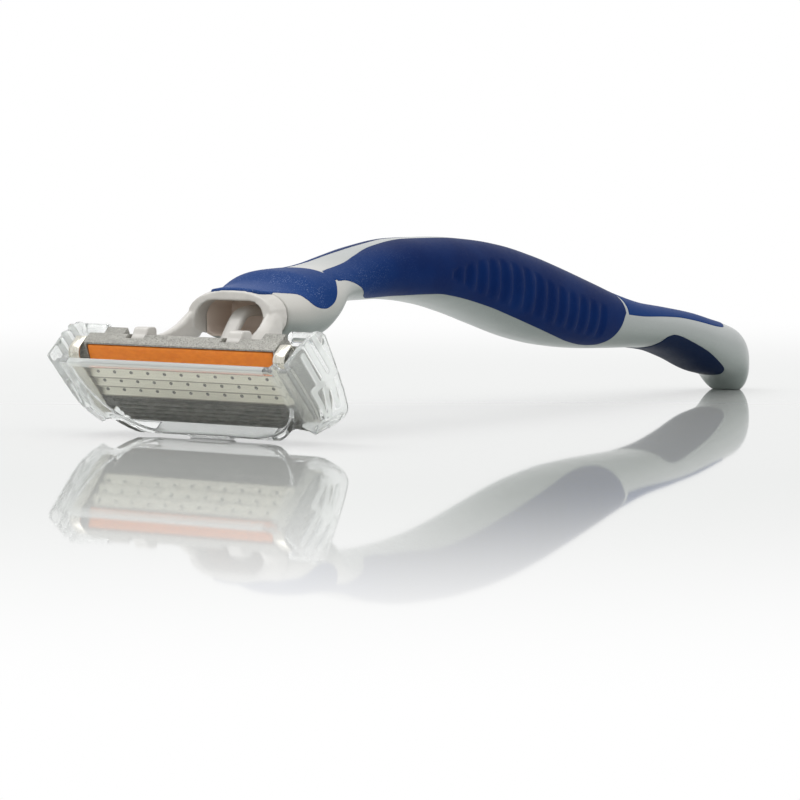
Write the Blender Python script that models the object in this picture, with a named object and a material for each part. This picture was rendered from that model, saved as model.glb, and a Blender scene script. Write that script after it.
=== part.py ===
"""Shaving razor lying on its back edge: handle, pivoting three-blade head and clear blade cover.

World frame: X across the head, +Y from the head to the tail, +Z up, table at Z = 0, and the
origin under the middle of the whole object.  The head is modelled lying face up in its own
frame, where +x runs across, +y points to the cap and +z (here called n) out of the blade face.
"""
import math

import bmesh
import bpy
from mathutils import Vector

MM = 0.001
DEG = math.pi / 180.0
QUARTER = math.pi / 2.0

# Driving dimensions
HANDLE_REACH = 127.6 * MM     # head pivot to the tail's end
CREST_HEIGHT = 25.0 * MM      # highest point of the handle above the table
HANDLE_WIDTH = 14.2 * MM      # across the grips
FACE_LEAN = 42.4 * DEG        # blade face from the vertical, top edge forward
CUTTER_OVERRUN = 2.0 * MM     # how far a cut runs past the surface it opens
FIT_GAP = 0.15 * MM           # between pieces that are moulded or pressed together
RUN_GAP = 0.2 * MM            # between pieces that move
SECTION_POWER = 2.35          # roundness of the handle's section, 2 is an ellipse
SECTION_POINTS = 28
SWEEP_POINTS = 12             # round the leg's and the finger's sections
SWEEP_POWER = 0.6

# Head pivot and blades, in the head's frame
PIVOT_Y = 2.2 * MM            # towards the cap from the first row of welds
PIVOT_DEPTH = 3.4 * MM        # behind the blade face
BLADE_COUNT = 3
BLADE_PITCH = 1.65 * MM
BLADE_LENGTH = 34.4 * MM      # the head and its cover follow it across
BLADE_WIDTH = 1.85 * MM
BLADE_THICKNESS = 0.1 * MM
BLADE_TILT = 20.5 * DEG
BLADE_FIRST_EDGE = 0.85 * MM  # first edge below the first row of welds
BLADE_EXPOSURE = 0.05 * MM
BLADE_GRIND = 0.35 * MM
SUPPORT_THICKNESS = 0.22 * MM
SUPPORT_SETBACK = 0.45 * MM   # from the cutting edge
SUPPORT_BEND = 0.1 * MM       # from the blade's rear edge to the leg
SUPPORT_DEPTH = 2.4 * MM      # foot of the leg behind the face
SUPPORT_INSET = 0.4 * MM      # from the blade's end
SUPPORT_LENGTH = BLADE_LENGTH - 2.0 * SUPPORT_INSET
WELD_GAP = 0.03 * MM

# Feet of the yoke, which turn in two slots of the housing
FOOT_RADIUS = 1.4 * MM
FOOT_INNER = 6.8 * MM
FOOT_OUTER = 9.2 * MM
FOOT_RISE = 2.0 * MM          # top of the foot above the pivot
FOOT_FRONT = 0.5 * MM
FOOT_BACK = 1.3 * MM
JOURNAL_RADIUS = 0.75 * MM
JOURNAL_REACH = 0.45 * MM
SLOT_ROOM = 0.3 * MM          # beside each foot
SLOT_INNER = FOOT_INNER - SLOT_ROOM
SLOT_OUTER = FOOT_OUTER + SLOT_ROOM
SLOT_TOP = 2.4 * MM
SLOT_GUARD = 2.4 * MM
SLOT_FLOOR = 4.0 * MM
SLOT_LIP = 2.6 * MM

# Clips and cartridge housing
BLADE_ROOM = 0.2 * MM         # past the blades' ends
END_WALL = 0.7 * MM
WELL_LENGTH = BLADE_LENGTH + 2.0 * BLADE_ROOM
END_LENGTH = WELL_LENGTH + 2.0 * END_WALL  # over the end blocks under the clips
END_INSET = 0.45 * MM
END_OVERLAP = 0.6 * MM
END_GUARD = 6.7 * MM          # guard side of the end blocks
CLIP_WIDTH = 1.8 * MM
CLIP_OUTER = END_LENGTH / 2.0
CLIP_INNER = CLIP_OUTER - CLIP_WIDTH
CLIP_THICKNESS = 0.25 * MM
CLIP_FRONT = 0.2 * MM         # inner face in front of the blade face
CLIP_RADIUS = 1.2 * MM
CLIP_HOOK = 1.6 * MM
CLIP_TUCK = 2.3 * MM          # where the cap end turns into the housing
HOUSING_LENGTH = 2.0 * (CLIP_INNER - RUN_GAP)  # between the clips
HOUSING_CAP = 3.9 * MM        # cap side, from the first row of welds
HOUSING_GUARD = 9.0 * MM      # guard side
HOUSING_BACK = 4.2 * MM
HOUSING_CAP_DEPTH = 1.35 * MM
HOUSING_BACK_CHAMFER = 1.1 * MM
HOUSING_RIM = 0.15 * MM       # rim behind the blade face
HOUSING_CORNER = 3.0 * MM     # corners of the face at the guard
WELL_CAP = 1.0 * MM
WELL_GUARD = 4.85 * MM
WELL_DEPTH = 3.0 * MM
CAM_PAD_WIDTH = 3.4 * MM
CAM_PAD_HEIGHT = 0.4 * MM
CAM_PAD_TOP = 2.0 * MM
CAM_PAD_BOTTOM = 4.8 * MM
LUG_INSET = 1.1 * MM          # from the housing's end
LUG_WIDTH = 3.4 * MM
LUG_HEIGHT = 1.1 * MM
LUG_RUN = 2.4 * MM
WINDOW_START = 3.2 * MM       # from the middle
WINDOW_RIB = 1.1 * MM         # between a window and a slot or the housing's end
WINDOW_MARGIN = 0.6 * MM

# Lubricating strip
STRIP_INSET = 0.5 * MM        # from the housing's end
STRIP_LENGTH = HOUSING_LENGTH - 2.0 * STRIP_INSET
STRIP_LOW = 1.35 * MM
STRIP_HIGH = 3.55 * MM
STRIP_LOW_DEPTH = 0.27 * MM
STRIP_THICKNESS = 0.85 * MM

# Guard fins
GUARD_INSET = 0.6 * MM        # from the housing's end
GUARD_LENGTH = HOUSING_LENGTH - 2.0 * GUARD_INSET
GUARD_TOP = 5.1 * MM
GUARD_BOTTOM = HOUSING_GUARD - FIT_GAP
GUARD_BED = 1.15 * MM
GUARD_BASE = 0.55 * MM
FIN_COUNT = 5
FIN_CREST = 0.05 * MM
FIN_WIDTH_SHARE = 0.62

# Clear cover
COVER_ROOM = 1.5 * MM         # from the clips to the end walls
COVER_WALL = 0.8 * MM
COVER_WIDTH = END_LENGTH + 2.0 * (COVER_ROOM + COVER_WALL)
COVER_BOTTOM = 10.1 * MM
COVER_TOP = 4.5 * MM
COVER_FLANGE_FRONT = 1.7 * MM
COVER_FRONT = 2.3 * MM
COVER_DEPTH = 6.35 * MM
COVER_FRONT_CORNER = 7.5 * MM
COVER_BACK_CORNER = 2.6 * MM
COVER_CORNER_DEPTH = 3.4 * MM  # behind it the lower corners keep their radius
COVER_TOP_CORNER = 0.6 * MM
COVER_BOTTOM_DEPTH = 2.6 * MM
TRAY_MARGIN = 2.4 * MM        # from the end walls' outer faces
TRAY_WIDTH = COVER_WIDTH - 2.0 * TRAY_MARGIN
TRAY_TOP = 4.0 * MM
TRAY_CORNER = 10.5 * MM
TRAY_TOP_CORNER = 0.5 * MM
COVER_PLATE_TOP = 3.2 * MM
LIP_TOP = 4.1 * MM
LIP_BOTTOM = 3.4 * MM
LIP_FRONT = 2.5 * MM
LIP_INSET = 0.4 * MM          # from the tray's sides
ARCH_INSET = 8.0 * MM         # from the tray's sides to the arches in the front's lower corners
ARCH_MARGIN = 2.0 * MM        # from the end walls' outer faces
ARCH_TOP = 7.4 * MM
ARCH_CORNER = 2.0 * MM
ARCH_DEPTH = 0.9 * MM         # behind the blade face
FOOT_CUT = 0.6 * MM           # flat on which the cover stands
FOOT_TAB_WIDTH = 6.8 * MM
FOOT_TAB_HEIGHT = 0.3 * MM    # the rest of the lower edge stands clear of the table
RIB_HEIGHT = 0.25 * MM
RIB_WIDTH = 0.7 * MM
LUG_ROD_RADIUS = 0.8 * MM
LUG_ROD_LENGTH = 4.3 * MM
LUG_ROD_Y = 2.1 * MM
LUG_ROD_DEPTH = 5.4 * MM

# Yoke
YOKE_SEAM = 10.0 * MM         # seam behind the pivot
YOKE_RING = 2.6 * MM
YOKE_WALL = 2.1 * MM
YOKE_ROOF = 1.7 * MM
YOKE_BROW_SHARE = 0.62        # height where the ring's front starts to slope back
YOKE_BROW_BACK_SHARE = 0.7    # of the ring's length that is left at its top
YOKE_SILL_SHARE = 0.50        # of the crest height: the lower edge of the ring
PEG_WIDTH = 0.9 * MM
PEG_HEIGHT = 1.2 * MM
PEG_LENGTH = 2.6 * MM
PEG_RISE_SHARE = 0.62         # height of the pegs' middle, of the crest height
PEG_DEPTH_SHARE = 0.57        # from the ring's outer side, of its wall
CAVITY_DEPTH = 5.0 * MM
CAVITY_SILL_SHARE = 0.52
CAVITY_HIGH_SHARE = 0.58      # radius of the upper corners, of the cavity's height
CAVITY_LOW_SHARE = 0.24       # radius of the lower corners

# Return finger
FINGER_WIDTH = 2.4 * MM
FINGER_THICKNESS = 0.9 * MM
FINGER_ROOT_THICKNESS = 1.5 * MM
FINGER_CONTACT = 3.4 * MM     # towards the guard from the first row of welds
FINGER_GAP = 0.3 * MM

# Rubber
PAD_DEPTH = 1.0 * MM
GROOVE_COUNT = 14
GROOVE_DEPTH = 0.4 * MM
GROOVE_START_SHARE = 0.371
GROOVE_END_SHARE = 0.646
GROOVE_WIDTH_SHARE = 0.5

# Handle stations: share of the reach, then top and bottom as shares of the crest height and
# half width as a share of the grips' half width
HANDLE_SHARES = (
    (0.060, 0.766, 0.490, 1.050),
    (0.080, 0.774, 0.486, 1.120),
    (0.097, 0.783, 0.475, 1.172),
    (0.108, 0.797, 0.467, 1.196),
    (0.118, 0.829, 0.464, 1.210),
    (0.128, 0.851, 0.464, 1.213),
    (0.145, 0.857, 0.477, 1.211),
    (0.165, 0.860, 0.538, 1.152),
    (0.185, 0.866, 0.634, 1.040),
    (0.210, 0.885, 0.670, 0.960),
    (0.240, 0.922, 0.674, 0.916),
    (0.280, 0.965, 0.675, 0.915),
    (0.330, 0.996, 0.660, 0.945),
    (0.385, 1.000, 0.622, 0.972),
    (0.440, 0.984, 0.558, 0.986),
    (0.490, 0.951, 0.486, 1.000),
    (0.550, 0.884, 0.402, 1.000),
    (0.600, 0.813, 0.355, 0.974),
    (0.660, 0.720, 0.324, 0.928),
    (0.710, 0.642, 0.313, 0.876),
    (0.770, 0.571, 0.303, 0.830),
    (0.820, 0.536, 0.273, 0.817),
    (0.875, 0.494, 0.200, 0.817),
    (0.920, 0.445, 0.120, 0.805),
    (0.940, 0.424, 0.100, 0.780),
    (0.957, 0.403, 0.072, 0.730),
    (0.967, 0.387, 0.030, 0.680),
    (0.975, 0.372, -0.022, 0.630),
    (0.988, 0.330, -0.022, 0.480),
    (0.996, 0.266, 0.040, 0.290),
    (1.000, 0.210, 0.110, 0.120),
)

# Rubber outlines: share of the reach, then an edge as a share of the quarter turn from the
# handle's side (0) to its top (1) or its bottom (-1)
NECK_PAD_SHARES = (
    (0.068, 0.80), (0.0695, 0.71), (0.073, 0.65), (0.080, 0.59), (0.087, 0.55), (0.097, 0.49),
    (0.104, 0.42), (0.108, 0.29), (0.112, 0.16), (0.118, 0.06), (0.126, 0.01), (0.134, 0.00),
    (0.142, 0.02), (0.148, 0.06), (0.153, 0.14), (0.158, 0.26), (0.164, 0.38),
)
GRIP_LOW_SHARES = (
    (0.167, 0.36), (0.176, 0.30), (0.186, 0.19), (0.196, 0.05), (0.207, -0.08), (0.218, -0.28),
    (0.230, -0.51), (0.247, -0.66), (0.291, -0.64), (0.335, -0.54), (0.364, -0.48),
    (0.397, -0.49), (0.449, -0.50), (0.491, -0.52), (0.535, -0.54), (0.577, -0.60),
    (0.608, -0.67), (0.638, -0.71), (0.660, -0.67), (0.674, -0.50), (0.682, -0.28),
    (0.690, -0.05), (0.698, 0.12),
)
GRIP_HIGH_SHARES = (
    (0.167, 0.70), (0.189, 0.73), (0.213, 0.75), (0.237, 0.81), (0.270, 0.90), (0.300, 0.92),
    (0.330, 0.90), (0.372, 0.85), (0.430, 0.82), (0.500, 0.80), (0.570, 0.80), (0.630, 0.83),
    (0.698, 0.86),
)
TAIL_TOP_SHARES = (
    (0.702, 0.08), (0.733, 0.12), (0.783, 0.24), (0.831, 0.31), (0.878, 0.32), (0.915, 0.42),
    (0.932, 0.66), (0.936, 0.80),
)
TAIL_BOTTOM_SHARES = (
    (0.780, -0.84), (0.784, -0.46), (0.790, -0.24), (0.805, -0.14), (0.840, -0.22),
    (0.878, -0.31), (0.905, -0.40), (0.926, -0.52), (0.938, -0.70), (0.942, -0.86),
)
GROOVE_LOW_SHARES = ((0.371, -0.14), (0.408, -0.28), (0.452, -0.34), (0.553, -0.37), (0.646, -0.42))
GROOVE_HIGH_SHARES = (
    (0.371, 0.03), (0.408, 0.18), (0.452, 0.29), (0.500, 0.26), (0.553, 0.16), (0.646, 0.12),
)

# Yoke leg from its foot to the ring, as shares of the way back, up and in, then its half
# thickness across and half depth as shares of the ring's wall
LEG_SHARES = (
    (0.00, 0.00, 0.00, 0.50, 0.46),
    (0.16, 0.02, 0.00, 0.50, 0.44),
    (0.29, 0.07, 0.08, 0.50, 0.40),
    (0.42, 0.15, 0.20, 0.50, 0.42),
    (0.55, 0.27, 0.36, 0.50, 0.50),
    (0.66, 0.37, 0.56, 0.49, 0.64),
    (0.76, 0.48, 0.74, 0.49, 0.86),
    (0.88, 0.62, 0.88, 0.48, 1.06),
    (1.00, 0.73, 1.00, 0.48, 1.18),
)
LEG_RISE_SHARE = 0.150        # of the crest height, from the foot to the leg's root
LEG_FALL_SHARE = 0.65         # slope of the leg's top outwards where it meets the ring
# Return finger from its root to its tip: shares of the way forward and of the way down, and
# the thickness between root and tip
FINGER_SHARES = (
    (0.00, 0.00, 0.00), (0.25, 0.00, 0.10), (0.40, 0.02, 0.40), (0.50, 0.07, 0.60),
    (0.60, 0.21, 0.80), (0.69, 0.38, 1.00), (0.78, 0.56, 1.00), (0.86, 0.72, 1.00), (1.00, 1.00, 1.00),
)
FINGER_ROOT_SHARE = 0.648     # height of the root, of the crest height

# Back edge of the cover's end walls from the bottom to the top, as (y, n) shares: y of the
# cover's reach on that side of the first row of welds, n of its depth
SIDE_SHARES = (
    (-0.79, -0.55), (-0.58, -0.68), (-0.19, -0.85), (0.47, -1.00), (0.76, -0.87), (0.98, -0.24),
)
# Ribs on each end wall: start and end of each, as (y, n) shares of the cover's bottom reach and depth
RIB_SHARES = (
    ((0.32, -0.18), (-0.17, -0.15)), ((0.385, -0.41), (-0.20, -0.40)), ((0.36, -0.67), (-0.24, -0.64)),
    ((-0.14, 0.06), (-0.25, -0.67)), ((-0.14, 0.06), (-0.40, 0.08)), ((-0.40, 0.08), (-0.53, 0.12)),
    ((-0.29, -0.23), (-0.59, 0.00)), ((-0.31, -0.48), (-0.60, -0.30)), ((-0.29, -0.23), (-0.31, -0.48)),
)

LEAN_SIN = math.sin(FACE_LEAN)
LEAN_COS = math.cos(FACE_LEAN)
FACE_HEIGHT = COVER_BOTTOM * LEAN_COS + COVER_FRONT * LEAN_SIN - FOOT_CUT
PIVOT_Z = FACE_HEIGHT + PIVOT_Y * LEAN_COS + PIVOT_DEPTH * LEAN_SIN
FRONT_REACH = (LIP_TOP - PIVOT_Y) * LEAN_SIN + (LIP_FRONT + PIVOT_DEPTH) * LEAN_COS
PIVOT_WORLD_Y = FRONT_REACH - (FRONT_REACH + HANDLE_REACH) / 2.0


def make_collection(name):
    collection = bpy.data.collections.new(name)
    bpy.context.scene.collection.children.link(collection)
    return collection


def make_material(name, colour, roughness, metallic=0.0, alpha=1.0):
    material = bpy.data.materials.new(name)
    material.use_nodes = True
    shader = material.node_tree.nodes["Principled BSDF"]
    shader.inputs["Base Color"].default_value = (*colour, 1.0)
    shader.inputs["Roughness"].default_value = roughness
    shader.inputs["Metallic"].default_value = metallic
    shader.inputs["Alpha"].default_value = alpha
    return material


def interpolate(table, position, column):
    """Smooth monotone curve through one column of a table whose first column is the position."""
    places = [row[0] for row in table]
    values = [row[column] for row in table]
    if position <= places[0]:
        return values[0]
    if position >= places[-1]:
        return values[-1]
    span = max(i for i in range(len(places) - 1) if places[i] <= position)
    slopes = [(values[i + 1] - values[i]) / (places[i + 1] - places[i]) for i in range(len(places) - 1)]

    def tangent(i):
        if i == 0 or i == len(places) - 1:
            return slopes[min(i, len(slopes) - 1)]
        before, after = slopes[i - 1], slopes[i]
        if before * after <= 0.0:
            return 0.0
        return 2.0 * before * after / (before + after)

    width = places[span + 1] - places[span]
    t = (position - places[span]) / width
    rise = (2 * t ** 3 - 3 * t ** 2 + 1) * values[span] + (3 * t ** 2 - 2 * t ** 3) * values[span + 1]
    lean = (t ** 3 - 2 * t ** 2 + t) * tangent(span) + (t ** 3 - t ** 2) * tangent(span + 1)
    return rise + width * lean


def signed_power(value, power):
    return math.copysign(abs(value) ** power, value)


def handle_point(share, turn, inset=0.0):
    """World point on the handle's skin: turn 0 is the right side, 1 the top, 2 the left side."""
    top = interpolate(HANDLE_SHARES, share, 1) * CREST_HEIGHT
    bottom = interpolate(HANDLE_SHARES, share, 2) * CREST_HEIGHT
    half_width = interpolate(HANDLE_SHARES, share, 3) * HANDLE_WIDTH / 2.0
    half_height = (top - bottom) / 2.0
    angle = turn * QUARTER
    across = signed_power(math.cos(angle), 2.0 / SECTION_POWER)
    up = signed_power(math.sin(angle), 2.0 / SECTION_POWER)
    normal = Vector((
        signed_power(across, SECTION_POWER - 1.0) / half_width, 0.0,
        signed_power(up, SECTION_POWER - 1.0) / half_height)).normalized()
    skin = Vector((across * half_width, PIVOT_WORLD_Y + share * HANDLE_REACH,
                   (top + bottom) / 2.0 + up * half_height))
    point = skin - normal * inset
    point.z = max(point.z, 0.0)
    return point


def new_object(name, mesh, collection, material=None, parent=None):
    item = bpy.data.objects.new(name, mesh)
    collection.objects.link(item)
    if material:
        mesh.materials.append(material)
    if parent:
        item.parent = parent
    return item


def mesh_from(builder, name):
    mesh = bpy.data.meshes.new(name)
    bmesh.ops.recalc_face_normals(builder, faces=builder.faces)
    builder.to_mesh(mesh)
    builder.free()
    return mesh


def loft_mesh(name, rings):
    """Closed skin through rings with the same number of points, with flat ends."""
    builder = bmesh.new()
    loops = [[builder.verts.new(point) for point in ring] for ring in rings]
    count = len(loops[0])
    for near, far in zip(loops, loops[1:]):
        for i in range(count):
            builder.faces.new((near[i], near[(i + 1) % count], far[(i + 1) % count], far[i]))
    builder.faces.new(loops[0])
    builder.faces.new(loops[-1])
    return mesh_from(builder, name)


def prism_mesh(name, outline, axis, start, end):
    """Flat outline pushed out along an axis: its two numbers are the other two axes in order."""
    builder = bmesh.new()
    corners = []
    for first, second in outline:
        place = [first, second]
        place.insert(axis, start)
        corners.append(builder.verts.new(place))
    face = builder.faces.new(corners)
    pushed = bmesh.ops.extrude_face_region(builder, geom=[face])["geom"]
    move = Vector((0.0, 0.0, 0.0))
    move[axis] = end - start
    bmesh.ops.translate(builder, vec=move, verts=[v for v in pushed if isinstance(v, bmesh.types.BMVert)])
    return mesh_from(builder, name)


def box_mesh(name, low, high):
    outline = ((low[0], low[1]), (high[0], low[1]), (high[0], high[1]), (low[0], high[1]))
    return prism_mesh(name, outline, 2, low[2], high[2])


def rod_mesh(name, radius, start, end, y, n, segments=20):
    """Round rod along X."""
    angles = [math.tau * (i + 0.5) / segments for i in range(segments)]
    outline = [(y + radius * math.cos(angle), n + radius * math.sin(angle)) for angle in angles]
    return prism_mesh(name, outline, 0, start, end)


def rounded_outline(corners, segments=5):
    """Closed outline from corners given as (first, second, radius)."""
    outline = []
    for i, (first, second, radius) in enumerate(corners):
        here = Vector((first, second))
        if radius <= 0.0:
            outline.append((first, second))
            continue
        before = (Vector(corners[i - 1][:2]) - here).normalized()
        after = (Vector(corners[(i + 1) % len(corners)][:2]) - here).normalized()
        half = before.angle(after) / 2.0
        centre = here + (before + after).normalized() * radius / math.sin(half)
        arm = here + before * radius / math.tan(half) - centre
        sweep = math.pi - 2.0 * half
        turning = 1.0 if before.x * after.y - before.y * after.x < 0.0 else -1.0
        for k in range(segments + 1):
            angle = turning * sweep * k / segments
            point = centre + Vector((arm.x * math.cos(angle) - arm.y * math.sin(angle),
                                     arm.x * math.sin(angle) + arm.y * math.cos(angle)))
            outline.append((point.x, point.y))
    return outline


def combine(target, tool_mesh, operation="DIFFERENCE", parent=None):
    """Cut a mesh from the target, join it on or keep what both share."""
    tool = new_object(target.name + "_tool", tool_mesh, cutters, parent=parent)
    if parent:
        tool.location = target.location
    tool.hide_render = True
    tool.hide_set(True)
    tool.display_type = "WIRE"
    step = target.modifiers.new(operation.lower(), "BOOLEAN")
    step.operation = operation
    step.solver = "EXACT"
    step.object = tool


def shade_round(item, angle=35.0 * DEG):
    item.data.shade_smooth()
    item.data.set_sharp_from_angle(angle=angle)


def handle_rings(shares, inset=0.0):
    turns = [4.0 * i / SECTION_POINTS for i in range(SECTION_POINTS)]
    return [[handle_point(share, turn, inset) for turn in turns] for share in shares]


def spread(start, end, count):
    return [start + (end - start) * i / (count - 1) for i in range(count)]


def pad_rings(shares, low, high, columns, depth, rise, margin=0.0):
    """Rings of a pad let into the handle; low and high give its edges at a share.

    A margin grows the pad on all its edges, which makes the cutter for its pocket.
    """
    rings = []
    margin_share = margin / HANDLE_REACH
    margin_turn = margin / (HANDLE_WIDTH / 2.0) / QUARTER
    for share in shares:
        near = [share - margin_share, share, share + margin_share] if margin else [share]
        first = min(low(place) for place in near) - margin_turn
        last = max(high(place) for place in near) + margin_turn
        turns = spread(first, last, columns)
        outer = [handle_point(share, turn, -rise(share, turn)) for turn in turns]
        inner = [handle_point(share, turn, depth) for turn in reversed(turns)]
        rings.append(outer + inner)
    return rings


def edge_of(table):
    """Edge of a pad at a share, from its outline's table."""
    def edge(share):
        return interpolate(table, share, 1)
    return edge


def mirrored(edge, middle=1.0):
    """The same edge on the other side of the handle's top (1) or bottom (-1)."""
    def other(share):
        return 2.0 * middle - edge(share)
    return other


def no_rise(share, turn):
    return 0.0


def pocket_rise(share, turn):
    return CUTTER_OVERRUN


def make_pad(name, shares, low, high, columns, material, beds, rise=no_rise):
    """Rubber pad, with its pocket cut into the pieces it is moulded on."""
    rings = pad_rings(shares, low, high, columns, PAD_DEPTH, rise)
    pad = new_object(name, loft_mesh(name, rings), razor, material)
    shade_round(pad)
    gap_share = FIT_GAP / HANDLE_REACH
    coarse = [shares[0] - gap_share] + [share for share in POCKET_STATIONS if shares[0] < share < shares[-1]]
    coarse.append(shares[-1] + gap_share)
    pocket = pad_rings(coarse, low, high, columns, PAD_DEPTH + FIT_GAP, pocket_rise, 2.0 * FIT_GAP)
    for bed in beds:
        combine(bed, loft_mesh(name + "_pocket", pocket))
    return pad


def groove_rise(share, turn):
    """How far the grip's skin sinks, as a negative rise, at one of its thumb grooves."""
    pitch = (GROOVE_END_SHARE - GROOVE_START_SHARE) / (GROOVE_COUNT - 1)
    nearest = round((share - GROOVE_START_SHARE) / pitch)
    if nearest < 0 or nearest >= GROOVE_COUNT:
        return 0.0
    centre = GROOVE_START_SHARE + nearest * pitch
    off = abs(share - centre) / (pitch * GROOVE_WIDTH_SHARE)
    low = interpolate(GROOVE_LOW_SHARES, centre, 1)
    high = interpolate(GROOVE_HIGH_SHARES, centre, 1)
    height = abs(turn - (low + high) / 2.0) / ((high - low) / 2.0)
    if off >= 1.0 or height >= 1.0:
        return 0.0
    return -GROOVE_DEPTH * math.cos(off * QUARTER) ** 2 * math.sqrt(1.0 - height ** 2)


def left_groove_rise(share, turn):
    return groove_rise(share, 2.0 - turn)


def grip_stations():
    """Stations at the grip's outline points, and four to each groove."""
    pitch = (GROOVE_END_SHARE - GROOVE_START_SHARE) / (GROOVE_COUNT - 1)
    ribs = [GROOVE_START_SHARE + pitch * (i - 2) / 4.0 for i in range(4 * (GROOVE_COUNT - 1) + 5)]
    before = [row[0] for row in GRIP_LOW_SHARES if row[0] < ribs[0] - pitch / 2.0]
    after = [row[0] for row in GRIP_LOW_SHARES if row[0] > ribs[-1] + pitch / 4.0]
    return before + ribs + after


def world_of(y, n, x=0.0):
    """World place of a point of the head's frame."""
    return Vector((x, PIVOT_WORLD_Y - (y - PIVOT_Y) * LEAN_SIN - (n + PIVOT_DEPTH) * LEAN_COS,
                   PIVOT_Z + (y - PIVOT_Y) * LEAN_COS - (n + PIVOT_DEPTH) * LEAN_SIN))


def sweep_rings(stations):
    """Rounded sections square to a path: each station is (centre, half across, half deep)."""
    rings = []
    for i, (centre, across, deep) in enumerate(stations):
        ahead = stations[min(i + 1, len(stations) - 1)][0]
        behind = stations[max(i - 1, 0)][0]
        way = ahead - behind
        normal = Vector((0.0, -way.z, way.y)).normalized()
        ring = []
        for k in range(SWEEP_POINTS):
            angle = math.tau * (k + 0.5) / SWEEP_POINTS
            side = signed_power(math.cos(angle), SWEEP_POWER) * across
            lift = signed_power(math.sin(angle), SWEEP_POWER) * deep
            ring.append(centre + Vector((side, 0.0, 0.0)) + normal * lift)
        rings.append(ring)
    return rings


def head_part(name, mesh, material, parent=None):
    item = new_object(name, mesh, razor, material, parent or head)
    item.location = (0.0, -PIVOT_Y, PIVOT_DEPTH)
    return item


for stale in list(bpy.data.objects):
    bpy.data.objects.remove(stale)

razor = make_collection("shaving_razor")
cutters = make_collection("cutters")

silver = make_material("silver plastic", (0.42, 0.44, 0.44), 0.35)
pearl = make_material("pearl plastic", (0.62, 0.61, 0.59), 0.3)
blue = make_material("blue rubber", (0.006, 0.045, 0.19), 0.45)
navy = make_material("dark blue rubber", (0.003, 0.012, 0.05), 0.5)
grain = make_material("grained silver plastic", (0.36, 0.36, 0.35), 0.45)
orange = make_material("lubricating strip", (0.72, 0.22, 0.03), 0.5)
dark = make_material("guard rubber", (0.05, 0.055, 0.05), 0.55)
steel = make_material("blade steel", (0.62, 0.62, 0.58), 0.3, 1.0)
bright = make_material("clip steel", (0.78, 0.77, 0.72), 0.2, 1.0)
clear = make_material("clear plastic", (0.88, 0.93, 0.9), 0.06, 0.0, 0.3)


# Handle core
POCKET_STATIONS = sorted({row[0] for table in (
    NECK_PAD_SHARES, GRIP_LOW_SHARES, TAIL_TOP_SHARES, TAIL_BOTTOM_SHARES) for row in table})
seam_share = (YOKE_SEAM + FIT_GAP) / HANDLE_REACH
core_shares = [seam_share] + [row[0] for row in HANDLE_SHARES if row[0] > seam_share]
core = new_object("handle_core", loft_mesh("handle_core", handle_rings(core_shares)), razor, silver)

# Neck cavity behind the yoke, where the return finger is rooted
ring_half = interpolate(HANDLE_SHARES, seam_share, 3) * HANDLE_WIDTH / 2.0
ring_top = interpolate(HANDLE_SHARES, seam_share, 1) * CREST_HEIGHT
cavity_half = ring_half - YOKE_WALL
cavity_top = ring_top - YOKE_ROOF
cavity_sill = CAVITY_SILL_SHARE * CREST_HEIGHT
high_corner = CAVITY_HIGH_SHARE * (cavity_top - cavity_sill)
low_corner = CAVITY_LOW_SHARE * (cavity_top - cavity_sill)
seam_y = PIVOT_WORLD_Y + YOKE_SEAM
cavity_outline = rounded_outline((
    (-cavity_half, cavity_sill, low_corner), (cavity_half, cavity_sill, low_corner),
    (cavity_half, cavity_top, high_corner), (-cavity_half, cavity_top, high_corner)))
combine(core, prism_mesh("cavity", cavity_outline, 1, seam_y - CUTTER_OVERRUN, seam_y + CAVITY_DEPTH))

# Yoke ring, legs, feet and journals
sill = YOKE_SILL_SHARE * CREST_HEIGHT
ring_shares = spread((YOKE_SEAM - YOKE_RING) / HANDLE_REACH, YOKE_SEAM / HANDLE_REACH, 3)
ring_insets = (0.25 * YOKE_WALL, 0.08 * YOKE_WALL, 0.0)
ring_rings = [handle_rings([share], inset)[0] for share, inset in zip(ring_shares, ring_insets)]
yoke = new_object("yoke_frame", loft_mesh("yoke_frame", ring_rings), razor, pearl)
tunnel = rounded_outline((
    (-cavity_half, -CREST_HEIGHT, 0.0), (cavity_half, -CREST_HEIGHT, 0.0),
    (cavity_half, cavity_top, high_corner), (-cavity_half, cavity_top, high_corner)))
tunnel_start = seam_y - YOKE_RING - CUTTER_OVERRUN
combine(yoke, prism_mesh("tunnel", tunnel, 1, tunnel_start, seam_y + CUTTER_OVERRUN))
combine(yoke, box_mesh("sill_cut", (-HANDLE_WIDTH, tunnel_start, -CREST_HEIGHT),
                       (HANDLE_WIDTH, seam_y + CUTTER_OVERRUN, sill)))

brow = YOKE_BROW_SHARE * CREST_HEIGHT
ring_front = seam_y - YOKE_RING
brow_back = seam_y - YOKE_BROW_BACK_SHARE * YOKE_RING
combine(yoke, prism_mesh("brow_cut", (
    (ring_front - CUTTER_OVERRUN, brow), (ring_front, brow), (brow_back, ring_top),
    (brow_back, ring_top + CUTTER_OVERRUN), (ring_front - CUTTER_OVERRUN, ring_top + CUTTER_OVERRUN)),
    0, -HANDLE_WIDTH, HANDLE_WIDTH))

foot_x = (FOOT_INNER + FOOT_OUTER) / 2.0
root_x = ring_half - YOKE_WALL / 2.0 - 0.05 * YOKE_WALL
leg_back = YOKE_SEAM - 0.35 * YOKE_RING
leg_rise = LEG_RISE_SHARE * CREST_HEIGHT


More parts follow.
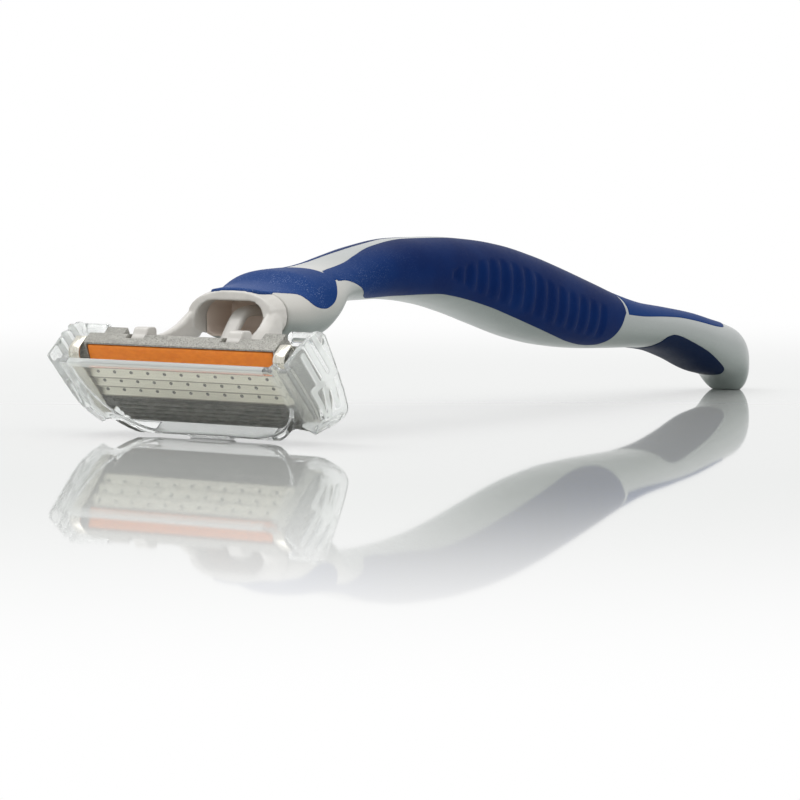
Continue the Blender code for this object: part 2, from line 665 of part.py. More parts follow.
def leg_rings(side):
    """Upright sections of a leg from its foot to the ring, falling outwards like the neck."""
    rings = []
    for back, up, inward, across, deep in LEG_SHARES:
        centre = Vector((side * (foot_x + (root_x - foot_x) * inward), PIVOT_WORLD_Y + leg_back * back,
                         PIVOT_Z + leg_rise * up))
        ring = []
        for k in range(SWEEP_POINTS):
            angle = math.tau * (k + 0.5) / SWEEP_POINTS
            out = signed_power(math.cos(angle), SWEEP_POWER) * across * YOKE_WALL
            lift = signed_power(math.sin(angle), SWEEP_POWER) * deep * YOKE_WALL
            if lift > 0.0:
                lift -= LEG_FALL_SHARE * back * (out + across * YOKE_WALL)
            ring.append(centre + Vector((side * out, 0.0, lift)))
        rings.append(ring)
    return rings


for side in (-1.0, 1.0):
    combine(yoke, loft_mesh("leg", leg_rings(side)), "UNION")
    edges = sorted((side * FOOT_INNER, side * FOOT_OUTER))
    block = rounded_outline((
        (PIVOT_WORLD_Y - FOOT_RADIUS, PIVOT_Z, 0.0), (PIVOT_WORLD_Y + FOOT_BACK, PIVOT_Z, 0.0),
        (PIVOT_WORLD_Y + FOOT_BACK, PIVOT_Z + FOOT_RISE, FOOT_FRONT),
        (PIVOT_WORLD_Y - FOOT_FRONT, PIVOT_Z + FOOT_RISE, FOOT_FRONT)), 3)
    combine(yoke, prism_mesh("block", block, 0, edges[0], edges[1]), "UNION")
    combine(yoke, rod_mesh("foot", FOOT_RADIUS, edges[0], edges[1], PIVOT_WORLD_Y, PIVOT_Z), "UNION")
    combine(yoke, rod_mesh("journal", JOURNAL_RADIUS, edges[0] - JOURNAL_REACH, edges[1] + JOURNAL_REACH,
                           PIVOT_WORLD_Y, PIVOT_Z, 16), "UNION")
    peg_x = side * (ring_half - PEG_DEPTH_SHARE * YOKE_WALL)
    peg_z = PEG_RISE_SHARE * CREST_HEIGHT
    peg_low = (peg_x - PEG_WIDTH / 2.0, seam_y - YOKE_RING / 2.0, peg_z - PEG_HEIGHT / 2.0)
    peg_high = (peg_x + PEG_WIDTH / 2.0, seam_y + PEG_LENGTH, peg_z + PEG_HEIGHT / 2.0)
    combine(yoke, box_mesh("peg", peg_low, peg_high), "UNION")
    grow = Vector((FIT_GAP, FIT_GAP, FIT_GAP))
    combine(core, box_mesh("peg_hole", Vector(peg_low) - grow, Vector(peg_high) + grow))

# Return finger
root_y = seam_y + CAVITY_DEPTH - FIT_GAP
root_z = FINGER_ROOT_SHARE * CREST_HEIGHT
tip = world_of(-FINGER_CONTACT, -(HOUSING_BACK + CAM_PAD_HEIGHT + FINGER_GAP))
stations = []
for forward, down, thin in FINGER_SHARES:
    centre = Vector((0.0, root_y + (tip.y - root_y) * forward, root_z + (tip.z - root_z) * down))
    thickness = FINGER_ROOT_THICKNESS + (FINGER_THICKNESS - FINGER_ROOT_THICKNESS) * thin
    stations.append((centre, FINGER_WIDTH / 2.0, thickness / 2.0))
finger = new_object("return_finger", loft_mesh("return_finger", sweep_rings(stations)), razor, pearl)
shade_round(finger)

# Rubber pads
tail_low = edge_of(TAIL_TOP_SHARES)
make_pad("tail_top_pad", [row[0] for row in TAIL_TOP_SHARES], tail_low, mirrored(tail_low), 15, blue, [core])
belly = edge_of(TAIL_BOTTOM_SHARES)
make_pad("tail_bottom_pad", [row[0] for row in TAIL_BOTTOM_SHARES], mirrored(belly, -1.0), belly, 11,
         navy, [core])
grip_low = edge_of(GRIP_LOW_SHARES)
grip_high = edge_of(GRIP_HIGH_SHARES)
make_pad("grip_right", grip_stations(), grip_low, grip_high, 10, blue, [core], groove_rise)
make_pad("grip_left", grip_stations(), mirrored(grip_high), mirrored(grip_low), 10, blue, [core],
         left_groove_rise)
neck_low = edge_of(NECK_PAD_SHARES)
make_pad("neck_pad", [row[0] for row in NECK_PAD_SHARES], neck_low, mirrored(neck_low), 17, blue,
         [core, yoke])
shade_round(core)
shade_round(yoke)

# The head hangs on its pivot
head = bpy.data.objects.new("head_pivot", None)
razor.objects.link(head)
head.location = (0.0, PIVOT_WORLD_Y, PIVOT_Z)
head.rotation_euler = (FACE_LEAN + QUARTER, 0.0, 0.0)

strip_slope = (HOUSING_CAP_DEPTH - STRIP_LOW_DEPTH) / (HOUSING_CAP - STRIP_LOW)
half_housing = HOUSING_LENGTH / 2.0


def housing_profile(inset, guard):
    cap, back = HOUSING_CAP - inset, -(HOUSING_BACK - inset)
    chamfer = HOUSING_BACK_CHAMFER
    return (
        (guard, -GUARD_BASE), (guard, back + chamfer), (guard + chamfer, back), (cap - chamfer, back),
        (cap, back + chamfer), (cap, -HOUSING_CAP_DEPTH), (STRIP_LOW, -STRIP_LOW_DEPTH),
        (WELL_CAP, -HOUSING_RIM), (-WELL_GUARD, -HOUSING_RIM), (-GUARD_TOP, -GUARD_BASE))


def face_outline(half, guard, corner):
    """Outline of the head seen square to its face, with round corners at the guard."""
    top = HOUSING_CAP + CUTTER_OVERRUN
    return rounded_outline((
        (-half, top, 0.0), (-half, -guard, corner), (half, -guard, corner), (half, top, 0.0)), 6)


housing = head_part("cartridge_housing", prism_mesh(
    "cartridge_housing", housing_profile(0.0, -HOUSING_GUARD), 0, -half_housing, half_housing), grain)
combine(housing, prism_mesh("face", face_outline(half_housing, HOUSING_GUARD, HOUSING_CORNER), 2,
                            -HOUSING_BACK - CUTTER_OVERRUN, CUTTER_OVERRUN), "INTERSECT", head)
for side in (-1.0, 1.0):
    ends = sorted((side * (half_housing - END_OVERLAP), side * END_LENGTH / 2.0))
    combine(housing, prism_mesh("end_block", housing_profile(END_INSET, -END_GUARD), 0, ends[0], ends[1]),
            "UNION", head)
    lug_cap = HOUSING_CAP - HOUSING_BACK_CHAMFER
    lug = ((-LUG_RUN, -HOUSING_BACK + END_INSET), (lug_cap, -HOUSING_BACK + END_INSET),
           (lug_cap, -HOUSING_BACK - LUG_HEIGHT))
    ends = sorted((side * (half_housing - LUG_INSET - LUG_WIDTH), side * (half_housing - LUG_INSET)))
    combine(housing, prism_mesh("lug", lug, 0, ends[0], ends[1]), "UNION", head)
combine(housing, box_mesh("cam_pad", (-CAM_PAD_WIDTH / 2.0, -CAM_PAD_BOTTOM, -HOUSING_BACK - CAM_PAD_HEIGHT),
                          (CAM_PAD_WIDTH / 2.0, -CAM_PAD_TOP, -HOUSING_BACK + END_INSET)), "UNION", head)
combine(housing, box_mesh("well", (-WELL_LENGTH / 2.0, -WELL_GUARD, -WELL_DEPTH),
                          (WELL_LENGTH / 2.0, WELL_CAP, CUTTER_OVERRUN)), "DIFFERENCE", head)
guard_half = GUARD_LENGTH / 2.0 + FIT_GAP
combine(housing, box_mesh("guard_bed", (-guard_half, -HOUSING_GUARD - CUTTER_OVERRUN, -GUARD_BED),
                          (guard_half, -GUARD_TOP + FIT_GAP, CUTTER_OVERRUN)), "DIFFERENCE", head)
strip_half = STRIP_LENGTH / 2.0
strip_high_depth = STRIP_LOW_DEPTH + strip_slope * (STRIP_HIGH - STRIP_LOW)
strip_outline = (
    (STRIP_LOW, -STRIP_LOW_DEPTH), (STRIP_HIGH, -strip_high_depth),
    (STRIP_HIGH - STRIP_THICKNESS * math.sin(math.atan(strip_slope)), -strip_high_depth - STRIP_THICKNESS),
    (STRIP_LOW, -STRIP_LOW_DEPTH - STRIP_THICKNESS))
bed_depth = strip_outline[2][1] - FIT_GAP
strip_bed = (
    (STRIP_LOW - FIT_GAP, CUTTER_OVERRUN), (STRIP_HIGH + FIT_GAP, CUTTER_OVERRUN),
    (STRIP_HIGH + FIT_GAP, bed_depth), (strip_outline[2][0], bed_depth),
    (STRIP_LOW - FIT_GAP, -STRIP_LOW_DEPTH - STRIP_THICKNESS - FIT_GAP))
combine(housing, prism_mesh("strip_bed", strip_bed, 0, -strip_half - FIT_GAP, strip_half + FIT_GAP),
        "DIFFERENCE", head)
slot_outline = (
    (HOUSING_CAP + CUTTER_OVERRUN, -HOUSING_BACK - CUTTER_OVERRUN), (HOUSING_CAP + CUTTER_OVERRUN, -SLOT_TOP),
    (WELL_CAP - FIT_GAP, -SLOT_TOP), (WELL_CAP - FIT_GAP, -SLOT_LIP), (-SLOT_GUARD, -SLOT_FLOOR),
    (-SLOT_GUARD, -HOUSING_BACK - CUTTER_OVERRUN))
for side in (-1.0, 1.0):
    edges = sorted((side * SLOT_INNER, side * SLOT_OUTER))
    combine(housing, prism_mesh("slot", slot_outline, 0, edges[0], edges[1]), "DIFFERENCE", head)
    combine(housing, rod_mesh("foot_room", FOOT_RADIUS + RUN_GAP, edges[0], edges[1], PIVOT_Y, -PIVOT_DEPTH),
            "DIFFERENCE", head)
    bearing = (edges[0] - JOURNAL_REACH, edges[1] + JOURNAL_REACH)
    combine(housing, rod_mesh("bearing", JOURNAL_RADIUS + RUN_GAP, bearing[0], bearing[1],
                              PIVOT_Y, -PIVOT_DEPTH, 16), "DIFFERENCE", head)
    for start, end in ((WINDOW_START, SLOT_INNER - WINDOW_RIB),
                       (SLOT_OUTER + WINDOW_RIB, half_housing - WINDOW_RIB)):
        edges = sorted((side * start, side * end))
        low = (edges[0], -WELL_GUARD + WINDOW_MARGIN, -HOUSING_BACK - CUTTER_OVERRUN)
        high = (edges[1], WELL_CAP - WINDOW_MARGIN, -WELL_DEPTH + CUTTER_OVERRUN / 4.0)
        combine(housing, box_mesh("window", low, high), "DIFFERENCE", head)

head_part("lubricating_strip", prism_mesh("strip", strip_outline, 0, -strip_half, strip_half), orange)

# Guard fins: one comb profile
fin_pitch = (GUARD_BOTTOM - GUARD_TOP) / FIN_COUNT
fin_half = fin_pitch * FIN_WIDTH_SHARE / 2.0
comb = [(-GUARD_BOTTOM, -GUARD_BED + FIT_GAP), (-GUARD_BOTTOM, -GUARD_BASE)]
for i in range(FIN_COUNT):
    middle = -GUARD_BOTTOM + fin_pitch * (i + 0.5)
    comb += [(middle - fin_half, -GUARD_BASE), (middle - fin_half / 3.0, FIN_CREST),
             (middle + fin_half / 3.0, FIN_CREST), (middle + fin_half, -GUARD_BASE)]
comb += [(-GUARD_TOP, -GUARD_BASE), (-GUARD_TOP, -GUARD_BED + FIT_GAP)]
fins_half = GUARD_LENGTH / 2.0
fins = head_part("guard_fins", prism_mesh("fins", comb, 0, -fins_half, fins_half), dark)
combine(fins, prism_mesh("face", face_outline(fins_half, GUARD_BOTTOM, HOUSING_CORNER - GUARD_INSET), 2,
                         -GUARD_BED - CUTTER_OVERRUN, CUTTER_OVERRUN), "INTERSECT", head)

# Blades and their supports
along = Vector((math.cos(BLADE_TILT), -math.sin(BLADE_TILT)))
under = Vector((-math.sin(BLADE_TILT), -math.cos(BLADE_TILT)))
for index in range(BLADE_COUNT):
    carrier = bpy.data.objects.new("blade_%d_float" % (index + 1), None)
    razor.objects.link(carrier)
    carrier.parent = head
    edge = Vector((-(BLADE_FIRST_EDGE + index * BLADE_PITCH), BLADE_EXPOSURE))
    rear = edge + along * BLADE_WIDTH
    blade_outline = (edge, rear, rear + under * BLADE_THICKNESS,
                     edge + along * BLADE_GRIND + under * BLADE_THICKNESS)
    head_part("blade_%d" % (index + 1), prism_mesh(
        "blade", blade_outline, 0, -BLADE_LENGTH / 2.0, BLADE_LENGTH / 2.0), steel, carrier)
    seat = BLADE_THICKNESS + WELD_GAP
    start = edge + along * SUPPORT_SETBACK + under * seat
    bend = rear - along * SUPPORT_BEND + under * seat
    inner = bend.x - SUPPORT_THICKNESS
    reach = (bend - start).dot(along) - SUPPORT_THICKNESS / along.x
    corner = start + under * SUPPORT_THICKNESS + along * reach
    support_outline = (start, bend, (bend.x, -SUPPORT_DEPTH), (inner, -SUPPORT_DEPTH), (inner, corner.y),
                       start + under * SUPPORT_THICKNESS)
    head_part("blade_%d_support" % (index + 1), prism_mesh(
        "blade_support", support_outline, 0, -SUPPORT_LENGTH / 2.0, SUPPORT_LENGTH / 2.0), steel, carrier)

# Clips: one bent strip at each end
clip_cap = HOUSING_CAP - END_INSET + FIT_GAP
clip_guard = -(END_GUARD + FIT_GAP)
clip_back = -(HOUSING_BACK - END_INSET + FIT_GAP)


def clip_path(offset):
    """Open bent outline; the offset moves it out through the strip's thickness."""
    radius = CLIP_RADIUS + offset
    front, cap = CLIP_FRONT + offset, clip_cap + offset
    guard, back = clip_guard - offset, clip_back - offset
    return rounded_outline((
        (guard, back, 0.0), (guard, front, radius / 2.0), (cap, front, radius),
        (cap, -CLIP_TUCK - offset, 0.0)), 6)


inner_path = clip_path(0.0)
outer_path = clip_path(CLIP_THICKNESS)
clip_outline = ([(clip_guard + CLIP_HOOK, clip_back)] + inner_path + [(clip_cap - CLIP_HOOK, -CLIP_TUCK)]
                + [(clip_cap - CLIP_HOOK, -CLIP_TUCK - CLIP_THICKNESS)] + outer_path[::-1]
                + [(clip_guard + CLIP_HOOK, clip_back - CLIP_THICKNESS)])
slit_end = clip_cap - CLIP_HOOK - FIT_GAP
slit_back = -CLIP_TUCK - CLIP_THICKNESS - FIT_GAP
slit = ((slit_end, slit_back), (HOUSING_CAP + CUTTER_OVERRUN, slit_back),
        (HOUSING_CAP + CUTTER_OVERRUN, -CLIP_TUCK + FIT_GAP), (slit_end, -CLIP_TUCK + FIT_GAP))
for side, word in ((-1.0, "left"), (1.0, "right")):
    edges = sorted((side * CLIP_INNER, side * CLIP_OUTER))
    combine(housing, prism_mesh("clip_slit", slit, 0, side * (CLIP_INNER - FIT_GAP),
                                side * (CLIP_OUTER + CUTTER_OVERRUN)), "DIFFERENCE", head)
    clip = head_part("clip_" + word, prism_mesh("clip", clip_outline, 0, edges[0], edges[1]), bright)
    shade_round(clip)

# Clear cover: a shell open towards the cap and the back, with a raised front tray
slide = bpy.data.objects.new("cover_slide", None)
razor.objects.link(slide)
slide.parent = head
half_cover = COVER_WIDTH / 2.0


def cover_ring(inset, top, n):
    """Outline of the cover at a depth; its lower corners grow towards the front."""
    way = max(0.0, (n + COVER_CORNER_DEPTH) / (COVER_FLANGE_FRONT + COVER_CORNER_DEPTH))
    corner = COVER_BACK_CORNER + (COVER_FRONT_CORNER - COVER_BACK_CORNER) * way - inset
    half, bottom = half_cover - inset, -(COVER_BOTTOM - inset)
    outline = rounded_outline(((-half, top, COVER_TOP_CORNER), (-half, bottom, corner),
                               (half, bottom, corner), (half, top, COVER_TOP_CORNER)), 6)
    return [(first, second, n) for first, second in outline]


cover_levels = (-COVER_DEPTH - CUTTER_OVERRUN, -COVER_CORNER_DEPTH, COVER_FLANGE_FRONT)
cover = head_part("blade_cover", loft_mesh(
    "blade_cover", [cover_ring(0.0, COVER_TOP, n) for n in cover_levels]), clear, slide)
side_corners = [(COVER_TOP, COVER_FLANGE_FRONT, 0.0), (-COVER_BOTTOM, COVER_FLANGE_FRONT, 0.0),
                (-COVER_BOTTOM, -COVER_BOTTOM_DEPTH, COVER_WALL)]
for y_share, n_share in SIDE_SHARES:
    side_reach = COVER_TOP if y_share > 0.0 else COVER_BOTTOM
    turn_radius = 0.0 if y_share == SIDE_SHARES[-1][0] else COVER_WALL
    side_corners.append((y_share * side_reach, n_share * COVER_DEPTH, turn_radius))
combine(cover, prism_mesh("side_view", rounded_outline(side_corners, 3), 0, -half_cover - CUTTER_OVERRUN,
                          half_cover + CUTTER_OVERRUN), "INTERSECT", head)
tray_half = TRAY_WIDTH / 2.0


def tray_outline(inset, top, top_corner):
    half, bottom, corner = tray_half - inset, -COVER_BOTTOM + inset, TRAY_CORNER - inset
    return rounded_outline((
        (-half, top, top_corner), (-half, bottom, corner),
        (half, bottom, corner), (half, top, top_corner)), 8)


arch_inner = tray_half - ARCH_INSET
arch_outer = half_cover - ARCH_MARGIN
arch_low = -COVER_BOTTOM - CUTTER_OVERRUN
for side in (-1.0, 1.0):
    arch = rounded_outline((
        (side * arch_inner, arch_low, 0.0), (side * arch_inner, -ARCH_TOP, ARCH_CORNER),
        (side * arch_outer, -ARCH_TOP, ARCH_CORNER), (side * arch_outer, arch_low, 0.0)), 4)
    combine(cover, prism_mesh("arch", arch, 2, -ARCH_DEPTH, COVER_FLANGE_FRONT + CUTTER_OVERRUN),
            "DIFFERENCE", head)
combine(cover, prism_mesh("tray", tray_outline(0.0, TRAY_TOP, TRAY_TOP_CORNER), 2,
                          COVER_FLANGE_FRONT - COVER_WALL, COVER_FRONT), "UNION", head)
room_half = half_cover - COVER_WALL
for start, end, low in ((tray_half, room_half, COVER_PLATE_TOP), (-room_half, -tray_half, COVER_PLATE_TOP),
                        (-tray_half - FIT_GAP, tray_half + FIT_GAP, LIP_TOP)):
    combine(cover, box_mesh("opening", (start, low, -CUTTER_OVERRUN),
                            (end, COVER_TOP + CUTTER_OVERRUN, COVER_FLANGE_FRONT + CUTTER_OVERRUN)),
            "DIFFERENCE", head)
lip_half = tray_half - LIP_INSET
combine(cover, box_mesh("lip", (-lip_half, LIP_BOTTOM, COVER_FRONT - COVER_WALL),
                        (lip_half, LIP_TOP, LIP_FRONT)), "UNION", head)
room_front = COVER_FLANGE_FRONT - COVER_WALL
room_levels = (-COVER_DEPTH - 2.0 * CUTTER_OVERRUN, -COVER_CORNER_DEPTH, room_front)
room_rings = [cover_ring(COVER_WALL, COVER_TOP + CUTTER_OVERRUN, n) for n in room_levels]
combine(cover, loft_mesh("room", room_rings), "DIFFERENCE", head)
combine(cover, prism_mesh("tray_room", tray_outline(COVER_WALL, COVER_TOP + CUTTER_OVERRUN, 0.0), 2,
                          -CUTTER_OVERRUN, COVER_FRONT - COVER_WALL), "DIFFERENCE", head)


def foot_outline(height):
    """Everything of the lower front edge below a height over the table."""
    low, front = -COVER_BOTTOM - CUTTER_OVERRUN, COVER_FRONT + CUTTER_OVERRUN * LEAN_COS
    rise = FOOT_CUT + height
    return ((-COVER_BOTTOM + rise / LEAN_COS + CUTTER_OVERRUN * LEAN_SIN, front), (low, front),
            (low, COVER_FRONT - rise / LEAN_SIN - CUTTER_OVERRUN * LEAN_COS / LEAN_SIN))


cut_half = half_cover + CUTTER_OVERRUN
tab_half = FOOT_TAB_WIDTH / 2.0
for start, end, height in ((-cut_half, cut_half, 0.0), (-cut_half, -tab_half, FOOT_TAB_HEIGHT),
                           (tab_half, cut_half, FOOT_TAB_HEIGHT)):
    combine(cover, prism_mesh("foot_cut", foot_outline(height), 0, start, end), "DIFFERENCE", head)

# Ribs and lugs on the end walls
for side in (-1.0, 1.0):
    edges = sorted((side * (half_cover - COVER_WALL / 2.0), side * (half_cover + RIB_HEIGHT)))
    for start, end in RIB_SHARES:
        first = Vector((start[0] * COVER_BOTTOM, start[1] * COVER_DEPTH))
        last = Vector((end[0] * COVER_BOTTOM, end[1] * COVER_DEPTH))
        way = (last - first).normalized()
        square = Vector((-way.y, way.x)) * RIB_WIDTH / 2.0
        first = first - way * RIB_WIDTH / 2.0
        last = last + way * RIB_WIDTH / 2.0
        rib = (first + square, last + square, last - square, first - square)
        combine(cover, prism_mesh("rib", rib, 0, edges[0], edges[1]), "UNION", head)
    rod_inner = half_cover - COVER_WALL - LUG_ROD_LENGTH
    edges = sorted((side * (half_cover - COVER_WALL / 2.0), side * rod_inner))
    combine(cover, rod_mesh("lug_rod", LUG_ROD_RADIUS, edges[0], edges[1], LUG_ROD_Y, -LUG_ROD_DEPTH, 16),
            "UNION", head)
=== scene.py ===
import math

import bmesh
import bpy
import numpy as np
from mathutils import Matrix, Vector


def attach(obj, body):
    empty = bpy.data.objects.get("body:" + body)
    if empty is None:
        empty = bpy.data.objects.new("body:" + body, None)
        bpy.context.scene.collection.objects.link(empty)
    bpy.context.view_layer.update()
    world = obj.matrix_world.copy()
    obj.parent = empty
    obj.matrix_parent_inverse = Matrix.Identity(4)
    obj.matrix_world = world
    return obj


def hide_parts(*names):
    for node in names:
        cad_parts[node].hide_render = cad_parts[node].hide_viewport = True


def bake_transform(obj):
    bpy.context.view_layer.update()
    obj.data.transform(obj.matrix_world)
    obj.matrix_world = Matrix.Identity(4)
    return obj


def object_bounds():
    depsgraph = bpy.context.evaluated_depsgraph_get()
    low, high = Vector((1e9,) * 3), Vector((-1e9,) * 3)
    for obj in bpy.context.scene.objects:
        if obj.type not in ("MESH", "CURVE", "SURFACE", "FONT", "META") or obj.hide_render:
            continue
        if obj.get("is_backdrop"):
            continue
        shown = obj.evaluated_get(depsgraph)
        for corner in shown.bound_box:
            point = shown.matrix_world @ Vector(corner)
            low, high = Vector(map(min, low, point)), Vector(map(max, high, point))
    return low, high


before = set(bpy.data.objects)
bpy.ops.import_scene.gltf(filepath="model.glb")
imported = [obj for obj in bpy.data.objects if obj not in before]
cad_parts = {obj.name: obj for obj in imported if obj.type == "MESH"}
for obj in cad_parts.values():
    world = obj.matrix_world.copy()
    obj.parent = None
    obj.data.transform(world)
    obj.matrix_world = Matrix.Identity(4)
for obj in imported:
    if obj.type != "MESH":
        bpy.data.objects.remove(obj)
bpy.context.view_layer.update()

mm = 0.001
quarter = math.pi / 2.0
print("frame loaded")

# Camera
camera = {
    "lens": 176.85,            # on a 36 mm sensor
    "place": (0.32849, -0.44056, 0.04016),
    "tilt": 86.01,             # degrees, 90 is level
    "turn": 37.82,
}
eye = bpy.data.cameras.new("photoCamera")
eye.lens = camera["lens"]
eye.sensor_width = 36.0
eye.clip_start, eye.clip_end = 0.01, 50.0
eyeHolder = bpy.data.objects.new("photoCamera", eye)
bpy.context.scene.collection.objects.link(eyeHolder)
eyeHolder.location = camera["place"]
eyeHolder.rotation_euler = (math.radians(camera["tilt"]), 0.0, math.radians(camera["turn"]))
bpy.context.scene.camera = eyeHolder
bpy.context.scene.view_settings.view_transform = "Standard"
print("camera set")


# Node trees; where a finish has limits, a pattern fades in between the two
class Number:
    # a socket that can stand in sums
    def __init__(self, socket):
        self.socket = socket

    def work(self, operation, first, second=0.0, third=0.0):
        step = self.socket.id_data.nodes.new("ShaderNodeMath")
        step.operation = operation
        for place, value in zip(step.inputs, (first, second, third)):
            if isinstance(value, Number):
                self.socket.id_data.links.new(value.socket, place)
            else:
                place.default_value = value
        return Number(step.outputs[0])

    def __add__(self, other):
        return self.work("ADD", self, other)

    def __radd__(self, other):
        return self.work("ADD", other, self)

    def __sub__(self, other):
        return self.work("SUBTRACT", self, other)

    def __rsub__(self, other):
        return self.work("SUBTRACT", other, self)

    def __mul__(self, other):
        return self.work("MULTIPLY", self, other)

    def __rmul__(self, other):
        return self.work("MULTIPLY", other, self)

    def __truediv__(self, other):
        return self.work("DIVIDE", self, other)

    def __pow__(self, other):
        return self.work("POWER", self, other)

    def __abs__(self):
        return self.work("ABSOLUTE", self)

    def larger(self, other):
        return self.work("MAXIMUM", self, other)

    def above(self, limit):
        return self.work("GREATER_THAN", self, limit)

    def below(self, limit):
        return self.work("LESS_THAN", self, limit)

    def cut(self):
        return self.work("MINIMUM", self.larger(0.0), 1.0)

    def ease(self, start, end):
        # 0 before start, 1 after end, smooth between
        share = ((self - start) / (end - start)).cut()
        return share * share * (3.0 - 2.0 * share)


class Nodes:
    # makes the nodes of one tree
    def __init__(self, tree):
        self.tree = tree

    def node(self, kind, settings=None, values=None):
        made = self.tree.nodes.new(kind)
        for name, value in (settings or {}).items():
            setattr(made, name, value)
        for name, value in (values or {}).items():
            if isinstance(value, Number):
                self.tree.links.new(value.socket, made.inputs[name])
            else:
                made.inputs[name].default_value = value
        return made

    def out(self, kind, settings=None, values=None, output=0):
        return Number(self.node(kind, settings, values).outputs[output])

    def place(self):
        return self.out("ShaderNodeTexCoord", output="Object")

    def axis(self, place, letter):
        return self.out("ShaderNodeSeparateXYZ", None, {"Vector": place}, letter)

    def stretched(self, place, scale):
        return self.out("ShaderNodeVectorMath", {"operation": "MULTIPLY"}, {0: place, 1: scale})

    def noise(self, place, size, detail=2.0, roughness=0.5):
        # size is the width of one blot
        return self.out("ShaderNodeTexNoise", None,
                        {"Vector": place, "Scale": 1.0 / size, "Detail": detail, "Roughness": roughness})

    def cells(self, place, size):
        # an even tone for each cell
        return self.out("ShaderNodeTexVoronoi", None, {"Vector": place, "Scale": 1.0 / size}, "Color")

    def colour(self, factor, first, second):
        sides = [side if isinstance(side, Number) else (*side, 1.0) for side in (first, second)]
        return self.out("ShaderNodeMix", {"data_type": "RGBA"}, {0: factor, 6: sides[0], 7: sides[1]}, 2)

    def bump(self, height, distance, strength=1.0):
        return self.out("ShaderNodeBump", None,
                        {"Height": height, "Distance": distance, "Strength": strength})


def paint(red, green, blue):
    # a screen colour from 0 to 255 as the linear colour that a shader takes
    return tuple(((part / 255.0 + 0.055) / 1.055) ** 2.4 for part in (red, green, blue))


def newFinish(name, uniform=None):
    material = bpy.data.materials.new(name)
    material.use_nodes = True
    shader = material.node_tree.nodes["Principled BSDF"]
    for socket, value in (uniform or {}).items():
        shader.inputs[socket].default_value = value
    return material, Nodes(material.node_tree), shader


def feed(shader, links):
    for socket, value in links.items():
        shader.id_data.links.new(value.socket, shader.inputs[socket])


def uneven(s, place, rough):
    # rough is the least roughness, its spread, and the width and detail of the blots
    least, spread, width, detail = rough
    return least + s.noise(place, width, detail) * spread


def finishOff(s, shader, place, body, look):
    # colour, uneven gloss and fine bumps, which are given by their width, detail and height
    width, detail, height = look["bumps"]
    feed(shader, {"Base Color": body, "Roughness": uneven(s, place, look["rough"]),
                  "Normal": s.bump(s.noise(place, width, detail), height)})


# Meshes and pieces
def meshFrom(name, points, faces):
    builder = bmesh.new()
    corners = [builder.verts.new(point) for point in points]
    for face in faces:
        builder.faces.new([corners[index] for index in face])
    bmesh.ops.remove_doubles(builder, verts=builder.verts, dist=1e-7)
    bmesh.ops.recalc_face_normals(builder, faces=builder.faces)
    mesh = bpy.data.meshes.new(name)
    builder.to_mesh(mesh)
    builder.free()
    return mesh


def gridFaces(rows, columns, start=0, closed=False):
    faces = []
    for row in range(rows - 1):
        for column in range(columns if closed else columns - 1):
            beside = (column + 1) % columns
            faces.append((start + row * columns + column, start + row * columns + beside,
                          start + (row + 1) * columns + beside, start + (row + 1) * columns + column))
    return faces


def shellMesh(name, outer, inner):
    # closed shell between two grids of the same size
    rows, columns = outer.shape[:2]
    count = rows * columns
    faces = gridFaces(rows, columns) + [face[::-1] for face in gridFaces(rows, columns, count)]
    border = [column for column in range(columns)]
    border += [row * columns + columns - 1 for row in range(1, rows)]
    border += [(rows - 1) * columns + column for column in range(columns - 2, -1, -1)]
    border += [row * columns for row in range(rows - 2, 0, -1)]
    for here, there in zip(border, border[1:] + border[:1]):
        faces.append((here, here + count, there + count, there))
    points = [tuple(point) for point in np.concatenate([outer.reshape(-1, 3), inner.reshape(-1, 3)])]
    return meshFrom(name, points, faces)


def newPiece(name, mesh, material, body, replaced=(), sharp=40.0):
    mesh.name = name
    piece = bpy.data.objects.new(name, mesh)
    bpy.context.scene.collection.objects.link(piece)
    mesh.materials.clear()
    mesh.materials.append(material)
    mesh.shade_smooth()
    mesh.set_sharp_from_angle(angle=math.radians(sharp))
    if body:
        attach(piece, body)
    if replaced:
        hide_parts(*replaced)
    return piece


def settle(holder):
    # the evaluated shape as a plain mesh, with the working object taken away
    bpy.context.view_layer.update()
    shown = holder.evaluated_get(bpy.context.evaluated_depsgraph_get())
    mesh = bpy.data.meshes.new_from_object(shown)
    bpy.data.objects.remove(holder)
    return mesh


def cadCopy(node):
    # a node's mesh as one connected skin
    builder = bmesh.new()
    builder.from_mesh(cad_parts[node].data)
    bmesh.ops.remove_doubles(builder, verts=builder.verts, dist=1e-6)
    bmesh.ops.dissolve_limit(builder, angle_limit=math.radians(0.5), verts=builder.verts, edges=builder.edges)
    mesh = bpy.data.meshes.new(node)
    builder.to_mesh(mesh)
    builder.free()
    holder = bpy.data.objects.new(node + "Work", mesh)
    bpy.context.scene.collection.objects.link(holder)
    return holder


def roundedCopy(node, width, angle=30.0):
    holder = cadCopy(node)
    edge = holder.modifiers.new("edges", "BEVEL")
    edge.width, edge.segments = width, 2
    edge.limit_method, edge.angle_limit = "ANGLE", math.radians(angle)
    return settle(holder)


def softMesh(holder, voxel, smoothing):
    # one soft-edged moulding in place of joined blocks
    skin = holder.modifiers.new("skin", "REMESH")
    skin.mode, skin.voxel_size = "VOXEL", voxel
    soften = holder.modifiers.new("soften", "SMOOTH")
    soften.factor, soften.iterations = 0.5, smoothing
    return settle(holder)


def dress(node, material):
    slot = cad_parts[node].material_slots[0]
    slot.link = "OBJECT"
    slot.material = material


